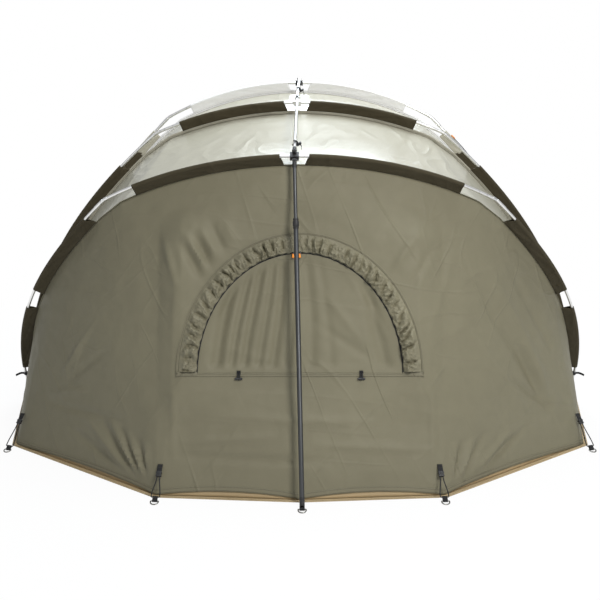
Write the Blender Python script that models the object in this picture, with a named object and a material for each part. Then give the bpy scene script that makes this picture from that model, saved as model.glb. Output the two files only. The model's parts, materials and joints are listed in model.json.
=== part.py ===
"""Two-person bivvy tent: four jointed ribs on two ground hubs, with shell, window, door and rear pole.

The tent is seen from behind: the rear wall faces -Y and the door faces +Y. The origin is on the ground,
at the middle of the line through both hubs. Metres, +Z up.
"""

import math

import bmesh
import bpy
from mathutils import Matrix, Vector

# Clearances and sheet thicknesses
TOUCH_GAP = 0.0003
RUN_GAP = 0.0005
FABRIC = 0.002
FIN_THICKNESS = 0.002
WEBBING = 0.003
OVERRUN = 0.02

# Ribs: in each rib's own plane, u runs sideways from the middle and v runs out from the hub line
HUB_HEIGHT = 0.060
POLE_RADIUS = 0.0065
FOOT_SPACING = 0.018
REAR_FOOT_U = 1.380
LEG_LEAVE = 0.45
LEG_ARRIVE = 0.62
ELBOW_BEND_DEG = 16.5
REAR_TILT_DEG = 52.0
REAR_REACH = 1.566
REAR_ELBOW = (0.812, 1.328)
SECOND_TILT_DEG = 75.0
SECOND_REACH = 1.492
SECOND_ELBOW = (0.655, 1.350)
THIRD_TILT_DEG = 95.5
THIRD_REACH = 1.545
THIRD_ELBOW = (0.656, 1.375)
FRONT_TILT_DEG = 118.0
FRONT_REACH = 1.500
FRONT_ELBOW = (0.660, 1.345)

# Sleeves: where the pole is covered, as shares of the crown's and the leg's length from apex and elbow
SHELL_DROP = 0.060
SEAM_BAND = 0.012
WALL_SEAM_ROOM = 0.0016
ROOF_SEAM_ROOM = 0.0005
CENTRE_BARE = 0.058
NORMAL_SPAN = 0.050
CROWN_COVERED_SHARE = 0.82
LEG_COVERED_SHARES = ((0.08, 0.46), (0.553, 0.867))
SHELL_FOOT_SHARE = 0.945
LONGEST_STEP = 0.125

# Leg eyes and hub brackets
EYE_RADIUS = 0.011
EYE_WIDTH = 0.010
HUB_PIN_RADIUS = 0.004
HUB_CHEEK = 0.004
HUB_CHEEK_HALF = 0.014
HUB_BASE = 0.004
HUB_BASE_HALF = 0.030
HUB_SIDE_ROOM = 0.004
HUB_PIN_HEAD = 0.003
HUB_PIN_HEAD_RADIUS = 0.008

# Apex blocks and crown bars
BLOCK_HALF_WIDTH = 0.018
BLOCK_HALF_DEPTH = 0.014
BLOCK_WALL = 0.0045
REAR_BLOCK_U = -0.022
SECOND_BLOCK_U = -0.013
THIRD_BLOCK_U = -0.004
FRONT_BLOCK_U = 0.0
BAR_RADIUS = 0.0065
BAR_PIN_RADIUS = 0.0025
BAR_PIN_AHEAD = 0.010
BAR_PIN_RISE = 0.010
BAR_EYE_RADIUS = 0.0085
BAR_EYE_WIDTH = 0.010
BAR_SEAT = 0.012
EAR_THICKNESS = 0.003
EAR_HALF = 0.005
EAR_ROOM = 0.0075

# Groundsheet corners on the right-hand side, from the rear middle round to the front middle
REAR_MIDDLE_Y = -1.350
REAR_CORNER = (0.570, -1.300)
REAR_SIDE = (1.285, -0.690)
HUB_SIDE_X = 1.422
FRONT_SIDE = (1.280, 0.650)
FRONT_CORNER = (0.620, 1.220)
FRONT_MIDDLE_Y = 1.290
HEM_INSET = 0.020
HEM_END_OUTSIDE = 0.028
HEM_END_AHEAD = 0.045

# Walls: share of the way up at each row, and how far round the seam each hem corner is drawn to
WALL_ROW_SHARES = (0.0, 0.10, 0.22, 0.32, 0.49, 0.66, 0.82, 0.91, 1.0)
FLAT_ROWS = (3, 6)
CORNER_ARC_SHARE = 0.265
SIDE_ARC_SHARE = 0.66
CORNER_STEPS = 6
SIDE_STEPS = 8
END_STEPS = 5
FLAT_SINK = 0.020
FRONT_FLAT_ROWS = (1, 7)

# Window, on the flat middle of the rear wall: s runs up the wall from the sill
WINDOW_SILL_HEIGHT = 0.461
WINDOW_SIZE = (0.424, 0.497)
BAND_OVERLAP = 0.018
BAND_BEYOND = 0.052
BAND_THICKNESS = 0.003
BAND_SEWN_THICKNESS = 0.0015
PUCKER_HEIGHT = 0.008
PUCKER_COUNT = 32
PUCKER_STEPS = 4
BAND_HEM_SHARE = 0.34
BAND_RIDGE_SHARE = 0.62
ARC_STEPS = 28
WINDOW_STEPS = 48
FOLD_DEPTH = 0.014
FOLD_SPACING = 0.105
FOLD_ROW_SHARES = (0.0, 0.10, 0.34, 0.60, 0.84, 0.95, 1.0)
FOLD_EDGE_SHARE = 0.12
FOLD_SILL_SHARE = 0.10
SLIDER_DEG = (-4.0, -0.2)
ZIP_INSET = 0.001
SLIDER_SIZE = (0.012, 0.012, 0.005)
PULLER_SIZE = (0.011, 0.020, 0.0025)
TOGGLE_SIDE = 0.240
TOGGLE_RADIUS = 0.0045
TOGGLE_LENGTH = 0.026
TOGGLE_DROP = 0.022
TOGGLE_LOOP = 0.004

# Door, on the flat middle of the front wall
DOOR_SILL_SHARE = 0.13
DOOR_RADIUS = 0.470
DOOR_CENTRE_RISE = 0.440

# Rear pole
POLE_FOOT_BEHIND = 0.055
POLE_FOOT_X = 0.008
UPPER_TUBE_RADIUS = 0.0073
LOWER_TUBE_RADIUS = 0.0094
UPPER_EXPOSED = 0.233
UPPER_HIDDEN = 0.380
LOCK_LENGTH = 0.041
LOCK_RADIUS = 0.0125
POLE_PIN_BEHIND = 0.024
POLE_FLOOR = 0.012

# Corner adjusters and ground rings
WEB_HALF_WIDTH = 0.010
TAB_LENGTH = 0.034
REAR_TAB_STANDOFF = 0.0005
SIDE_TAB_STANDOFF = 0.0044
LOCK_SIZE = (0.024, 0.022, 0.014)
CORD_RADIUS = 0.0022
CORD_TOP_SIDE = 0.0055
CORD_BOTTOM_SIDE = 0.0165
CORD_TURN = 0.0040
STRAP_LENGTH = 0.026
STRAP_HALF_DEPTH = 0.0045
STRAP_END = 0.005
RING_WIRE = 0.0025
RING_HALF_BAR = 0.0150
RING_LEG = 0.006
RING_BAR_HEIGHT = 0.0085
REAR_TAB_HEIGHT = 0.115
REAR_TAB_SHARE = 0.82
REAR_RING_FROM_CORNER = (-0.015, -0.055)
SIDE_TAB_HEIGHT = 0.135
SIDE_TAB_SHARE = 0.96
SIDE_RING_FROM_CORNER = (-0.005, -0.078)
FOOT_STRAP_INNER = 0.012
FOOT_STRAP_OUTER = 0.030

# Counts that shape the meshes
POLE_SIDES = 8
ROUND_SIDES = 16
SMALL_SIDES = 8
LEG_TRACE_STEPS = 60
RING_ARC_STEPS = 8
CORD_STEPS = 5
CORD_TURN_STEPS = 3
LAST_PLACE = 3
SHARP_ANGLE_DEG = 35.0

# Colours, roughness and metallic value of each material
OLIVE = (0.150, 0.136, 0.098, 1.0)
OLIVE_DARK = (0.085, 0.072, 0.048, 1.0)
ROOF_OLIVE = (0.230, 0.215, 0.170, 1.0)
TAN = (0.330, 0.225, 0.105, 1.0)
STEEL = (0.560, 0.570, 0.580, 1.0)
GRAPHITE = (0.030, 0.032, 0.034, 1.0)
BLACK = (0.012, 0.012, 0.012, 1.0)
ORANGE = (0.850, 0.190, 0.010, 1.0)

LEFT = -1
RIGHT = 1


def clear_scene():
    for thing in list(bpy.data.objects):
        bpy.data.objects.remove(thing, do_unlink=True)


def material(name, colour, roughness, metallic=0.0):
    found = bpy.data.materials.get(name)
    if found:
        return found
    made = bpy.data.materials.new(name)
    made.use_nodes = True
    shader = made.node_tree.nodes["Principled BSDF"]
    shader.inputs["Base Color"].default_value = colour
    shader.inputs["Roughness"].default_value = roughness
    shader.inputs["Metallic"].default_value = metallic
    made.diffuse_color = colour
    return made


def olive():
    return material("shell_olive", OLIVE, 0.75)


def roof_olive():
    return material("roof_olive", ROOF_OLIVE, 0.45)


def sleeve_olive():
    return material("sleeve_olive", OLIVE_DARK, 0.8)


def tan():
    return material("groundsheet_tan", TAN, 0.8)


def aluminium():
    return material("bare_aluminium", STEEL, 0.35, 0.9)


def graphite():
    return material("graphite_tube", GRAPHITE, 0.4, 0.6)


def black():
    return material("black_plastic", BLACK, 0.55)


def webbing():
    return material("black_webbing", BLACK, 0.85)


def steel():
    return material("ring_steel", STEEL, 0.25, 1.0)


def orange():
    return material("puller_orange", ORANGE, 0.5)


class Body:
    """An empty on a joint's axis, which carries every solid that moves with it."""

    def __init__(self, name, position=(0.0, 0.0, 0.0), parent=None):
        self.position = Vector(position)
        self.empty = bpy.data.objects.new(f"joint_{name}", None)
        bpy.context.scene.collection.objects.link(self.empty)
        if parent:
            self.empty.parent = parent.empty
            self.empty.location = self.position - parent.position
        else:
            self.empty.location = self.position

    def carry(self, thing):
        thing.parent = self.empty
        thing.location = -self.position
        return thing


def add_object(name, points, faces, look, body=None, closed=True):
    """A mesh object from points and faces in the tent's frame; closed ones get their faces turned out."""
    data = bpy.data.meshes.new(name)
    data.from_pydata([tuple(point) for point in points], [], faces)
    shape = bmesh.new()
    shape.from_mesh(data)
    if closed:
        bmesh.ops.recalc_face_normals(shape, faces=shape.faces)
    shape.to_mesh(data)
    shape.free()
    thing = bpy.data.objects.new(name, data)
    bpy.context.scene.collection.objects.link(thing)
    if look:
        data.materials.append(look)
    data.shade_smooth()
    data.set_sharp_from_angle(angle=math.radians(SHARP_ANGLE_DEG))
    if body:
        body.carry(thing)
    return thing


def hide_helper(thing):
    thing.hide_render = True
    thing.display_type = "WIRE"


def combine(thing, helper, operation):
    """Joins or cuts a helper solid, which follows the same body."""
    helper.parent = thing.parent
    helper.location = thing.location
    hide_helper(helper)
    modifier = thing.modifiers.new(helper.name, "BOOLEAN")
    modifier.operation = operation
    modifier.solver = "EXACT"
    modifier.object = helper


def join(thing, helper):
    combine(thing, helper, "UNION")


def cut(thing, helper):
    combine(thing, helper, "DIFFERENCE")


def sweep(points, radius, sides, normal, closed=False):
    """Points and faces of a round tube along a flat path with this plane normal."""
    count = len(points)
    rings = []
    for i, point in enumerate(points):
        before = points[i - 1] if closed or i > 0 else point
        after = points[(i + 1) % count] if closed or i < count - 1 else point
        across = (after - before).normalized().cross(normal)
        for k in range(sides):
            angle = math.tau * (k + 0.5) / sides
            rings.append(point + (normal * math.cos(angle) + across * math.sin(angle)) * radius)
    faces = []
    for i in range(count if closed else count - 1):
        following = (i + 1) % count
        for k in range(sides):
            turn = (k + 1) % sides
            faces.append((i * sides + k, i * sides + turn, following * sides + turn, following * sides + k))
    if not closed:
        faces.append(tuple(range(sides)))
        faces.append(tuple((count - 1) * sides + k for k in range(sides)))
    return rings, faces


def rod(name, start, end, radius, sides, look=None, body=None):
    """A straight round solid."""
    axis = (end - start).normalized()
    normal = axis.orthogonal().normalized()
    points, faces = sweep([start, end], radius, sides, normal)
    return add_object(name, points, faces, look, body)


def box(name, centre, axes, halves, look=None, body=None):
    """A box with its own three axes and half sizes."""
    points = []
    for a in (-1, 1):
        for b in (-1, 1):
            for c in (-1, 1):
                reach = axes[0] * (a * halves[0]) + axes[1] * (b * halves[1]) + axes[2] * (c * halves[2])
                points.append(centre + reach)
    faces = [(0, 1, 3, 2), (4, 6, 7, 5), (0, 4, 5, 1), (2, 3, 7, 6), (0, 2, 6, 4), (1, 5, 7, 3)]
    return add_object(name, points, faces, look, body)


def plate(name, outline, origin, across, up, out, low, high, look=None, body=None):
    """A flat plate with this outline in (across, up), from low to high along out."""
    count = len(outline)
    points = []
    for level in (low, high):
        for a, b in outline:
            points.append(origin + across * a + up * b + out * level)
    faces = [tuple(range(count)), tuple(range(count, 2 * count))]
    for i in range(count):
        following = (i + 1) % count
        faces.append((i, following, count + following, count + i))
    return add_object(name, points, faces, look, body)


def sheet(name, rows, thickness, look, body, offset=-1.0):
    """A cloth panel through rows of points, thickened inwards from its outer face."""
    width = len(rows[0])
    points = [point for row in rows for point in row]
    faces = []
    for j in range(len(rows) - 1):
        for i in range(width - 1):
            faces.append((j * width + i, j * width + i + 1, (j + 1) * width + i + 1, (j + 1) * width + i))
    middle = faces[len(faces) // 2]
    a, b, c = (points[k] for k in middle[:3])
    outward = (a - Vector((0.0, 0.0, HUB_HEIGHT))).dot((b - a).cross(c - b)) > 0
    if not outward:
        faces = [tuple(reversed(face)) for face in faces]
    thing = add_object(name, points, faces, look, body, closed=False)
    thicken(thing, thickness, offset)
    return thing


def thicken(thing, thickness, offset):
    modifier = thing.modifiers.new("thickness", "SOLIDIFY")
    modifier.thickness = thickness
    modifier.offset = offset
    modifier.use_even_offset = True


def subdivided(knots):
    """The knots with evenly spaced stations between them, none further apart than the longest step."""
    stations = [knots[0]]
    for start, end in zip(knots, knots[1:]):
        count = max(1, math.ceil((end - start) / LONGEST_STEP))
        for k in range(1, count + 1):
            stations.append(start + (end - start) * k / count)
    return stations


class Rib:
    """One hoop: a crown arc between two elbows, and a leg from each elbow down to the hub line."""

    def __init__(self, name, tilt_deg, reach, elbow, place, block_u):
        self.name = name
        self.block_u = block_u
        self.tilt = math.radians(tilt_deg)
        self.out = Vector((0.0, -math.cos(self.tilt), math.sin(self.tilt)))
        self.ahead = Vector((0.0, math.sin(self.tilt), math.cos(self.tilt)))
        self.reach = reach
        self.elbow = elbow
        self.foot_u = REAR_FOOT_U - FOOT_SPACING * place
        drop = reach - elbow[1]
        self.radius = (elbow[0] ** 2 + drop**2) / (2 * drop)
        self.half_angle = math.asin(elbow[0] / self.radius)
        self.crown_length = self.radius * self.half_angle
        self.trace_leg()
        self.leg_length = self.leg[-1][0] - self.crown_length
        self.length = self.leg[-1][0]
        self.stations = self.list_stations()

    def trace_leg(self):
        """(arc, u, v) along the leg, a cubic from the elbow that comes in square to the hub line."""
        slope = self.half_angle + math.radians(ELBOW_BEND_DEG)
        corners = (
            self.elbow,
            (self.elbow[0] + LEG_LEAVE * math.cos(slope), self.elbow[1] - LEG_LEAVE * math.sin(slope)),
            (self.foot_u, LEG_ARRIVE),
            (self.foot_u, 0.0),
        )
        self.leg = [(self.crown_length, *self.elbow)]
        for k in range(1, LEG_TRACE_STEPS + 1):
            t = k / LEG_TRACE_STEPS
            weights = ((1 - t) ** 3, 3 * (1 - t) ** 2 * t, 3 * (1 - t) * t**2, t**3)
            u = sum(weight * corner[0] for weight, corner in zip(weights, corners))
            v = sum(weight * corner[1] for weight, corner in zip(weights, corners))
            arc, last_u, last_v = self.leg[-1]
            self.leg.append((arc + math.hypot(u - last_u, v - last_v), u, v))

    def at(self, arc):
        """(u, v) of the pole's centre line at this signed distance along it from the apex."""
        side = math.copysign(1.0, arc)
        distance = min(abs(arc), self.length)
        if distance <= self.crown_length:
            angle = distance / self.radius
            return side * self.radius * math.sin(angle), self.reach - self.radius * (1 - math.cos(angle))
        for (start, u0, v0), (end, u1, v1) in zip(self.leg, self.leg[1:]):
            if distance <= end:
                share = (distance - start) / (end - start)
                return side * (u0 + (u1 - u0) * share), v0 + (v1 - v0) * share
        return side * self.leg[-1][1], self.leg[-1][2]

    def inset(self, arc, depth):
        """(u, v) this far inside the centre line."""
        u, v = self.at(arc)
        before = self.at(max(arc - NORMAL_SPAN, -self.length))
        after = self.at(min(arc + NORMAL_SPAN, self.length))
        run = math.hypot(after[0] - before[0], after[1] - before[1])
        return u + depth * (after[1] - before[1]) / run, v - depth * (after[0] - before[0]) / run

    def world(self, u, v, ahead=0.0):
        return Vector((u, 0.0, HUB_HEIGHT)) + self.out * v + self.ahead * ahead

    def leg_arc(self, share):
        return self.crown_length + self.leg_length * share

    def covered(self, side):
        """The covered stretches on this side, as (start, end) distances from the apex."""
        stretches = [(CENTRE_BARE + side * self.block_u, self.crown_length * CROWN_COVERED_SHARE)]
        for start, end in LEG_COVERED_SHARES:
            stretches.append((self.leg_arc(start), self.leg_arc(end)))
        return stretches

    def list_stations(self):
        """Signed distances from the apex where the pole and its sleeve bend or change, from left to right."""
        halves = []
        for side in (LEFT, RIGHT):
            knots = {self.crown_length, self.leg_arc(SHELL_FOOT_SHARE), self.length}
            for start, end in self.covered(side):
                knots |= {start, end}
            halves.append([side * distance for distance in subdivided(sorted(knots))])
        return list(reversed(halves[0])) + halves[1]

    def seam(self, arc, ahead=0.0):
        """The point where the shell is sewn to the sleeve."""
        return self.world(*self.inset(arc, SHELL_DROP), ahead)

    def shell_arcs(self):
        end = self.leg_arc(SHELL_FOOT_SHARE)
        return [arc for arc in self.stations if abs(arc) <= end + TOUCH_GAP]

    def apex(self):
        """The middle of the apex block, on the straight run of pole between the two nearest stations."""
        left = self.at(self.block_u - CENTRE_BARE)
        right = self.at(self.block_u + CENTRE_BARE)
        share = (self.block_u - left[0]) / (right[0] - left[0])
        return self.world(self.block_u, left[1] + (right[1] - left[1]) * share)


def build_poles(rib, body):
    """The crown pole, and a leg on each side that ends in an eye round the hub pin."""
    cut_back = POLE_RADIUS * math.tan(math.radians(ELBOW_BEND_DEG) / 2) + TOUCH_GAP
    crown_end = rib.crown_length - cut_back
    arcs = [arc for arc in rib.stations if abs(arc) < crown_end]
    arcs = [-crown_end] + arcs + [crown_end]
    path = [rib.world(*rib.at(arc)) for arc in arcs]
    points, faces = sweep(path, POLE_RADIUS, POLE_SIDES, rib.ahead)
    add_object(f"{rib.name}_crown", points, faces, aluminium(), body)
    for side, word in ((LEFT, "left"), (RIGHT, "right")):
        start = rib.crown_length + cut_back
        arcs = [start] + [arc for arc in rib.stations if start < arc < rib.length - EYE_RADIUS]
        path = [rib.world(*rib.at(side * arc)) for arc in arcs]
        path.append(rib.world(side * rib.foot_u, (EYE_RADIUS + HUB_PIN_RADIUS) / 2))
        points, faces = sweep(path, POLE_RADIUS, POLE_SIDES, rib.ahead)
        leg = add_object(f"{rib.name}_leg_{word}", points, faces, aluminium(), body)
        foot = rib.world(side * rib.foot_u, 0.0)
        reach = Vector((EYE_WIDTH / 2, 0.0, 0.0))
        join(leg, rod(f"{leg.name}_eye", foot - reach, foot + reach, EYE_RADIUS, ROUND_SIDES))
        reach = Vector((EYE_WIDTH, 0.0, 0.0))
        cut(leg, rod(f"{leg.name}_bore", foot - reach, foot + reach, HUB_PIN_RADIUS + RUN_GAP, ROUND_SIDES))


def build_sleeve(rib, body):
    """The seam band along the whole shell edge, with a fin up to the pole where the sleeve covers it."""
    arcs = rib.shell_arcs()
    inner = [rib.world(*rib.inset(arc, SHELL_DROP)) for arc in arcs]
    middle = [rib.world(*rib.inset(arc, SHELL_DROP - SEAM_BAND)) for arc in arcs]
    outer = [rib.world(*rib.inset(arc, POLE_RADIUS + TOUCH_GAP)) for arc in arcs]
    count = len(arcs)
    used = []
    for i in range(count - 1):
        centre = (arcs[i] + arcs[i + 1]) / 2
        side = RIGHT if centre > 0 else LEFT
        used.append(any(start < abs(centre) < end for start, end in rib.covered(side)))
    points = inner + middle
    place = {}
    for i in range(count):
        if (i > 0 and used[i - 1]) or (i < count - 1 and used[i]):
            place[i] = len(points)
            points.append(outer[i])
    faces = []
    for i in range(count - 1):
        faces.append((i, i + 1, count + i + 1, count + i))
        if used[i]:
            faces.append((count + i, count + i + 1, place[i + 1], place[i]))
    sleeve = add_object(f"{rib.name}_sleeve", points, faces, sleeve_olive(), body, closed=False)
    thicken(sleeve, FIN_THICKNESS, 0.0)


def ears(thing, pin, side_room, up, along, toward, name):
    """Two ears and a pin across them, joined to a block: toward is how far they reach back into it."""
    right = Vector((1.0, 0.0, 0.0))
    for side, word in ((LEFT, "left"), (RIGHT, "right")):
        centre = pin + right * (side * (side_room + EAR_THICKNESS / 2)) - up * (toward / 2)
        halves = (EAR_THICKNESS / 2, EAR_HALF, EAR_HALF + toward / 2)
        join(thing, box(f"{name}_ear_{word}", centre, (right, along, up), halves))
    reach = right * (side_room + EAR_THICKNESS / 2)
    join(thing, rod(f"{name}_pin", pin - reach, pin + reach, BAR_PIN_RADIUS, ROUND_SIDES))


def block_top():
    return POLE_RADIUS + BLOCK_WALL


def bar_pin(rib):
    return rib.apex() + rib.ahead * BAR_PIN_AHEAD + rib.out * (block_top() + BAR_PIN_RISE)


def build_block(rib, body, holds_bar):
    """The apex block: the pole runs through it, the bar behind rests on it, the bar ahead hinges on it."""
    right = Vector((1.0, 0.0, 0.0))
    halves = (BLOCK_HALF_WIDTH, BLOCK_HALF_DEPTH, block_top())
    block = box(f"{rib.name}_block", rib.apex(), (right, rib.ahead, rib.out), halves, black(), body)
    if holds_bar:
        room = BAR_EYE_WIDTH / 2 + RUN_GAP
        ears(block, bar_pin(rib), room, rib.out, rib.ahead, BAR_PIN_RISE + BLOCK_WALL / 2, f"{rib.name}_bar")
    reach = right * (BLOCK_HALF_WIDTH + OVERRUN)
    bore = POLE_RADIUS + 2 * RUN_GAP
    cut(block, rod(f"{rib.name}_block_bore", rib.apex() - reach, rib.apex() + reach, bore, ROUND_SIDES))
    return block


def bar_line(rib, ahead_rib):
    """(pin, direction, length) of the crown bar that just clears the rear top edge of the block ahead."""
    pin = bar_pin(rib)
    edge = ahead_rib.apex() - ahead_rib.ahead * BLOCK_HALF_DEPTH + ahead_rib.out * block_top()
    run = Vector((0.0, edge.y - pin.y, edge.z - pin.z))
    lift = math.asin((BAR_RADIUS + TOUCH_GAP) / run.length)
    direction = Matrix.Rotation(lift, 3, "X") @ run + Vector((edge.x - pin.x, 0.0, 0.0))
    return pin, direction.normalized(), run.length + BAR_SEAT


def eye_rod(name, pin, direction, length, radius, eye_radius, eye_width, pin_radius, look, body):
    """A straight tube that leaves an eye round a pin along X."""
    right = Vector((1.0, 0.0, 0.0))
    thing = rod(name, pin + direction * EAR_ROOM, pin + direction * length, radius, ROUND_SIDES, look, body)
    reach = right * (eye_width / 2)
    join(thing, rod(f"{name}_eye", pin - reach, pin + reach, eye_radius, ROUND_SIDES))
    cut(thing, rod(f"{name}_bore", pin - reach * 2, pin + reach * 2, pin_radius + TOUCH_GAP, ROUND_SIDES))
    return thing


def build_bar(rib, ahead_rib, name, parent):
    pin, direction, length = bar_line(rib, ahead_rib)
    body = Body(name, pin, parent)
    eye = (BAR_EYE_RADIUS, BAR_EYE_WIDTH, BAR_PIN_RADIUS)
    eye_rod(name, pin, direction, length, BAR_RADIUS, *eye, aluminium(), body)


def ground_corners():
    """The groundsheet's outline, once round."""
    right = [(0.0, REAR_MIDDLE_Y), REAR_CORNER, REAR_SIDE, (HUB_SIDE_X, 0.0), FRONT_SIDE, FRONT_CORNER]
    left = [(-x, y) for x, y in reversed(right[1:])]
    return right + [(0.0, FRONT_MIDDLE_Y)] + left


def build_groundsheet(body):
    up = Vector((0.0, 0.0, 1.0))
    axes = (Vector((1.0, 0.0, 0.0)), Vector((0.0, 1.0, 0.0)), up)
    plate("groundsheet", ground_corners(), Vector(), *axes, 0.0, FABRIC, tan(), body)


def build_hub(side, word, body):
    """The bracket that the four feet stand in: base, two cheeks and the pin through the eyes."""
    right = Vector((1.0, 0.0, 0.0))
    axes = (right, Vector((0.0, 1.0, 0.0)), Vector((0.0, 0.0, 1.0)))
    eye_half = EYE_WIDTH / 2
    low_x = REAR_FOOT_U - LAST_PLACE * FOOT_SPACING - eye_half - HUB_SIDE_ROOM
    high_x = REAR_FOOT_U + eye_half + HUB_SIDE_ROOM
    base_low = FABRIC + TOUCH_GAP
    middle = Vector((side * (low_x + high_x) / 2, 0.0, base_low + HUB_BASE / 2))
    half_width = (high_x - low_x) / 2 + HUB_CHEEK
    hub = box(f"hub_{word}", middle, axes, (half_width, HUB_BASE_HALF, HUB_BASE / 2), black(), body)
    for x, end in ((low_x - HUB_CHEEK / 2, "inner"), (high_x + HUB_CHEEK / 2, "outer")):
        top = HUB_HEIGHT + HUB_CHEEK_HALF
        low = base_low + HUB_BASE / 2
        centre = Vector((side * x, 0.0, (top + low) / 2))
        halves = (HUB_CHEEK / 2, HUB_CHEEK_HALF, (top - low) / 2)
        join(hub, box(f"hub_{word}_{end}", centre, axes, halves))
    axle = Vector((0.0, 0.0, HUB_HEIGHT))
    start = axle + right * (side * (low_x - HUB_CHEEK / 2))
    end = axle + right * (side * (high_x + HUB_CHEEK / 2))
    join(hub, rod(f"hub_{word}_pin", start, end, HUB_PIN_RADIUS, ROUND_SIDES))
    head = end + right * (side * (HUB_CHEEK / 2 + HUB_PIN_HEAD))
    join(hub, rod(f"hub_{word}_head", end, head, HUB_PIN_HEAD_RADIUS, ROUND_SIDES))


class Wall:
    """A wall from the hem on the groundsheet up to one rib's seam, flat in the middle."""

    def __init__(self, rib, facing, middle_y, corner, side, flat_rows):
        self.rib = rib
        self.facing = facing
        end = (REAR_FOOT_U + HEM_END_OUTSIDE, facing * HEM_END_AHEAD)
        self.hem_knots = [self.drawn_in((0.0, middle_y)), self.drawn_in(corner), self.drawn_in(side), end]
        foot_arc = rib.leg_arc(SHELL_FOOT_SHARE)
        self.arc_knots = [0.0, foot_arc * CORNER_ARC_SHARE, foot_arc * SIDE_ARC_SHARE, foot_arc]
        self.hem_height = FABRIC + TOUCH_GAP + FABRIC / 2
        self.flat_rows = flat_rows
        base = self.ruled(0.0, 0.0)
        top = self.ruled(0.0, 1.0)
        self.up = (top - base).normalized()
        self.outward = Vector((0.0, facing * self.up.z, -facing * self.up.y))
        self.flat_base = base - self.outward * FLAT_SINK
        self.rows = self.trace()

    def drawn_in(self, corner):
        length = math.hypot(*corner)
        return corner[0] * (1 - HEM_INSET / length), corner[1] * (1 - HEM_INSET / length)

    def columns(self):
        """(arc, hem point) of each column on the right-hand side."""
        found = [(0.0, self.hem_knots[0])]
        for k, steps in enumerate((CORNER_STEPS, SIDE_STEPS, END_STEPS)):
            for i in range(1, steps + 1):
                share = i / steps
                arc = self.arc_knots[k] + (self.arc_knots[k + 1] - self.arc_knots[k]) * share
                start, end = self.hem_knots[k], self.hem_knots[k + 1]
                hem = (start[0] + (end[0] - start[0]) * share, start[1] + (end[1] - start[1]) * share)
                found.append((arc, hem))
        return found

    def ruled(self, arc, share, hem=None):
        x, y = hem or self.hem_knots[0]
        low = Vector((x, y, self.hem_height))
        high = self.rib.seam(arc, self.facing * (FIN_THICKNESS / 2 + WALL_SEAM_ROOM))
        return low + (high - low) * share

    def flatten(self, point):
        """The point moved along Y onto the flat middle's plane."""
        share = (point.z - self.flat_base.z) / self.up.z
        return Vector((point.x, self.flat_base.y + self.up.y * share, point.z))

    def trace(self):
        rows = []
        for j, share in enumerate(WALL_ROW_SHARES):
            right = []
            for i, (arc, hem) in enumerate(self.columns()):
                point = self.ruled(arc, share, hem)
                if self.flat_rows[0] <= j <= self.flat_rows[1] and i < CORNER_STEPS:
                    point = self.flatten(point)
                right.append(point)
            left = [Vector((-point.x, point.y, point.z)) for point in reversed(right[1:])]
            rows.append(left + right)
        return rows

    def on_flat(self, height):
        """The point on the flat middle at this height."""
        return self.flatten(Vector((0.0, 0.0, height)))

    def at_column(self, column, height):
        """The point at this height on the right-hand column."""
        middle = len(self.rows[0]) // 2
        line = [row[middle + column] for row in self.rows]
        for low, high in zip(line, line[1:]):
            if low.z <= height <= high.z:
                return low + (high - low) * ((height - low.z) / (high.z - low.z))
        return line[-1]


def moon(size, steps):
    """Half an ellipse on its sill, from the right corner over the top to the left one."""
    angles = [math.pi * k / steps for k in range(steps + 1)]
    return [(size[0] * math.cos(angle), size[1] * math.sin(angle)) for angle in angles]


def arch(radius, centre_rise, steps):
    """The outline of a round arch on straight sides."""
    outline = [(radius, 0.0)]
    for k in range(steps + 1):
        angle = math.pi * k / steps
        outline.append((radius * math.cos(angle), centre_rise + radius * math.sin(angle)))
    outline.append((-radius, 0.0))
    return outline


def grown(outline, amount):
    """The outline moved out by about this amount, for a cutter round a panel."""
    centre_rise = max(rise for _, rise in outline) / 2
    found = []
    for across, rise in outline:
        length = math.hypot(across, rise - centre_rise)
        share = 1 + amount / length
        found.append((across * share, centre_rise + (rise - centre_rise) * share))
    return found


def build_rear(rib, body):
    """The rear wall with its window, storm band, sliders and toggles."""
    wall = Wall(rib, LEFT, REAR_MIDDLE_Y, REAR_CORNER, REAR_SIDE, FLAT_ROWS)
    thing = sheet("rear_wall", wall.rows, FABRIC, olive(), body)
    sill = wall.on_flat(WINDOW_SILL_HEIGHT)
    across = Vector((1.0, 0.0, 0.0))
    frame = (sill, across, wall.up, wall.outward)
    clear = grown(moon(WINDOW_SIZE, WINDOW_STEPS), TOUCH_GAP * 2)
    cut(thing, plate("window_hole", clear, *frame, -OVERRUN, OVERRUN))
    hinge = Body("window_panel", sill - wall.outward * FABRIC, body)
    build_folded_panel("window_panel", frame, olive(), hinge)
    build_band(frame, body)
    build_sliders(frame, body)
    build_toggles(frame, body)
    return wall


def fold_depth(a, b, share):
    """How far the cloth falls back here: soft upright folds that die out towards its sewn edge."""
    edge = 1 - math.hypot(a / WINDOW_SIZE[0], b / WINDOW_SIZE[1])
    ease = max(0.0, min(1.0, edge / FOLD_EDGE_SHARE, share / FOLD_SILL_SHARE))
    return FOLD_DEPTH * ease * (1 - math.cos(math.tau * a / FOLD_SPACING)) / 2


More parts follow.
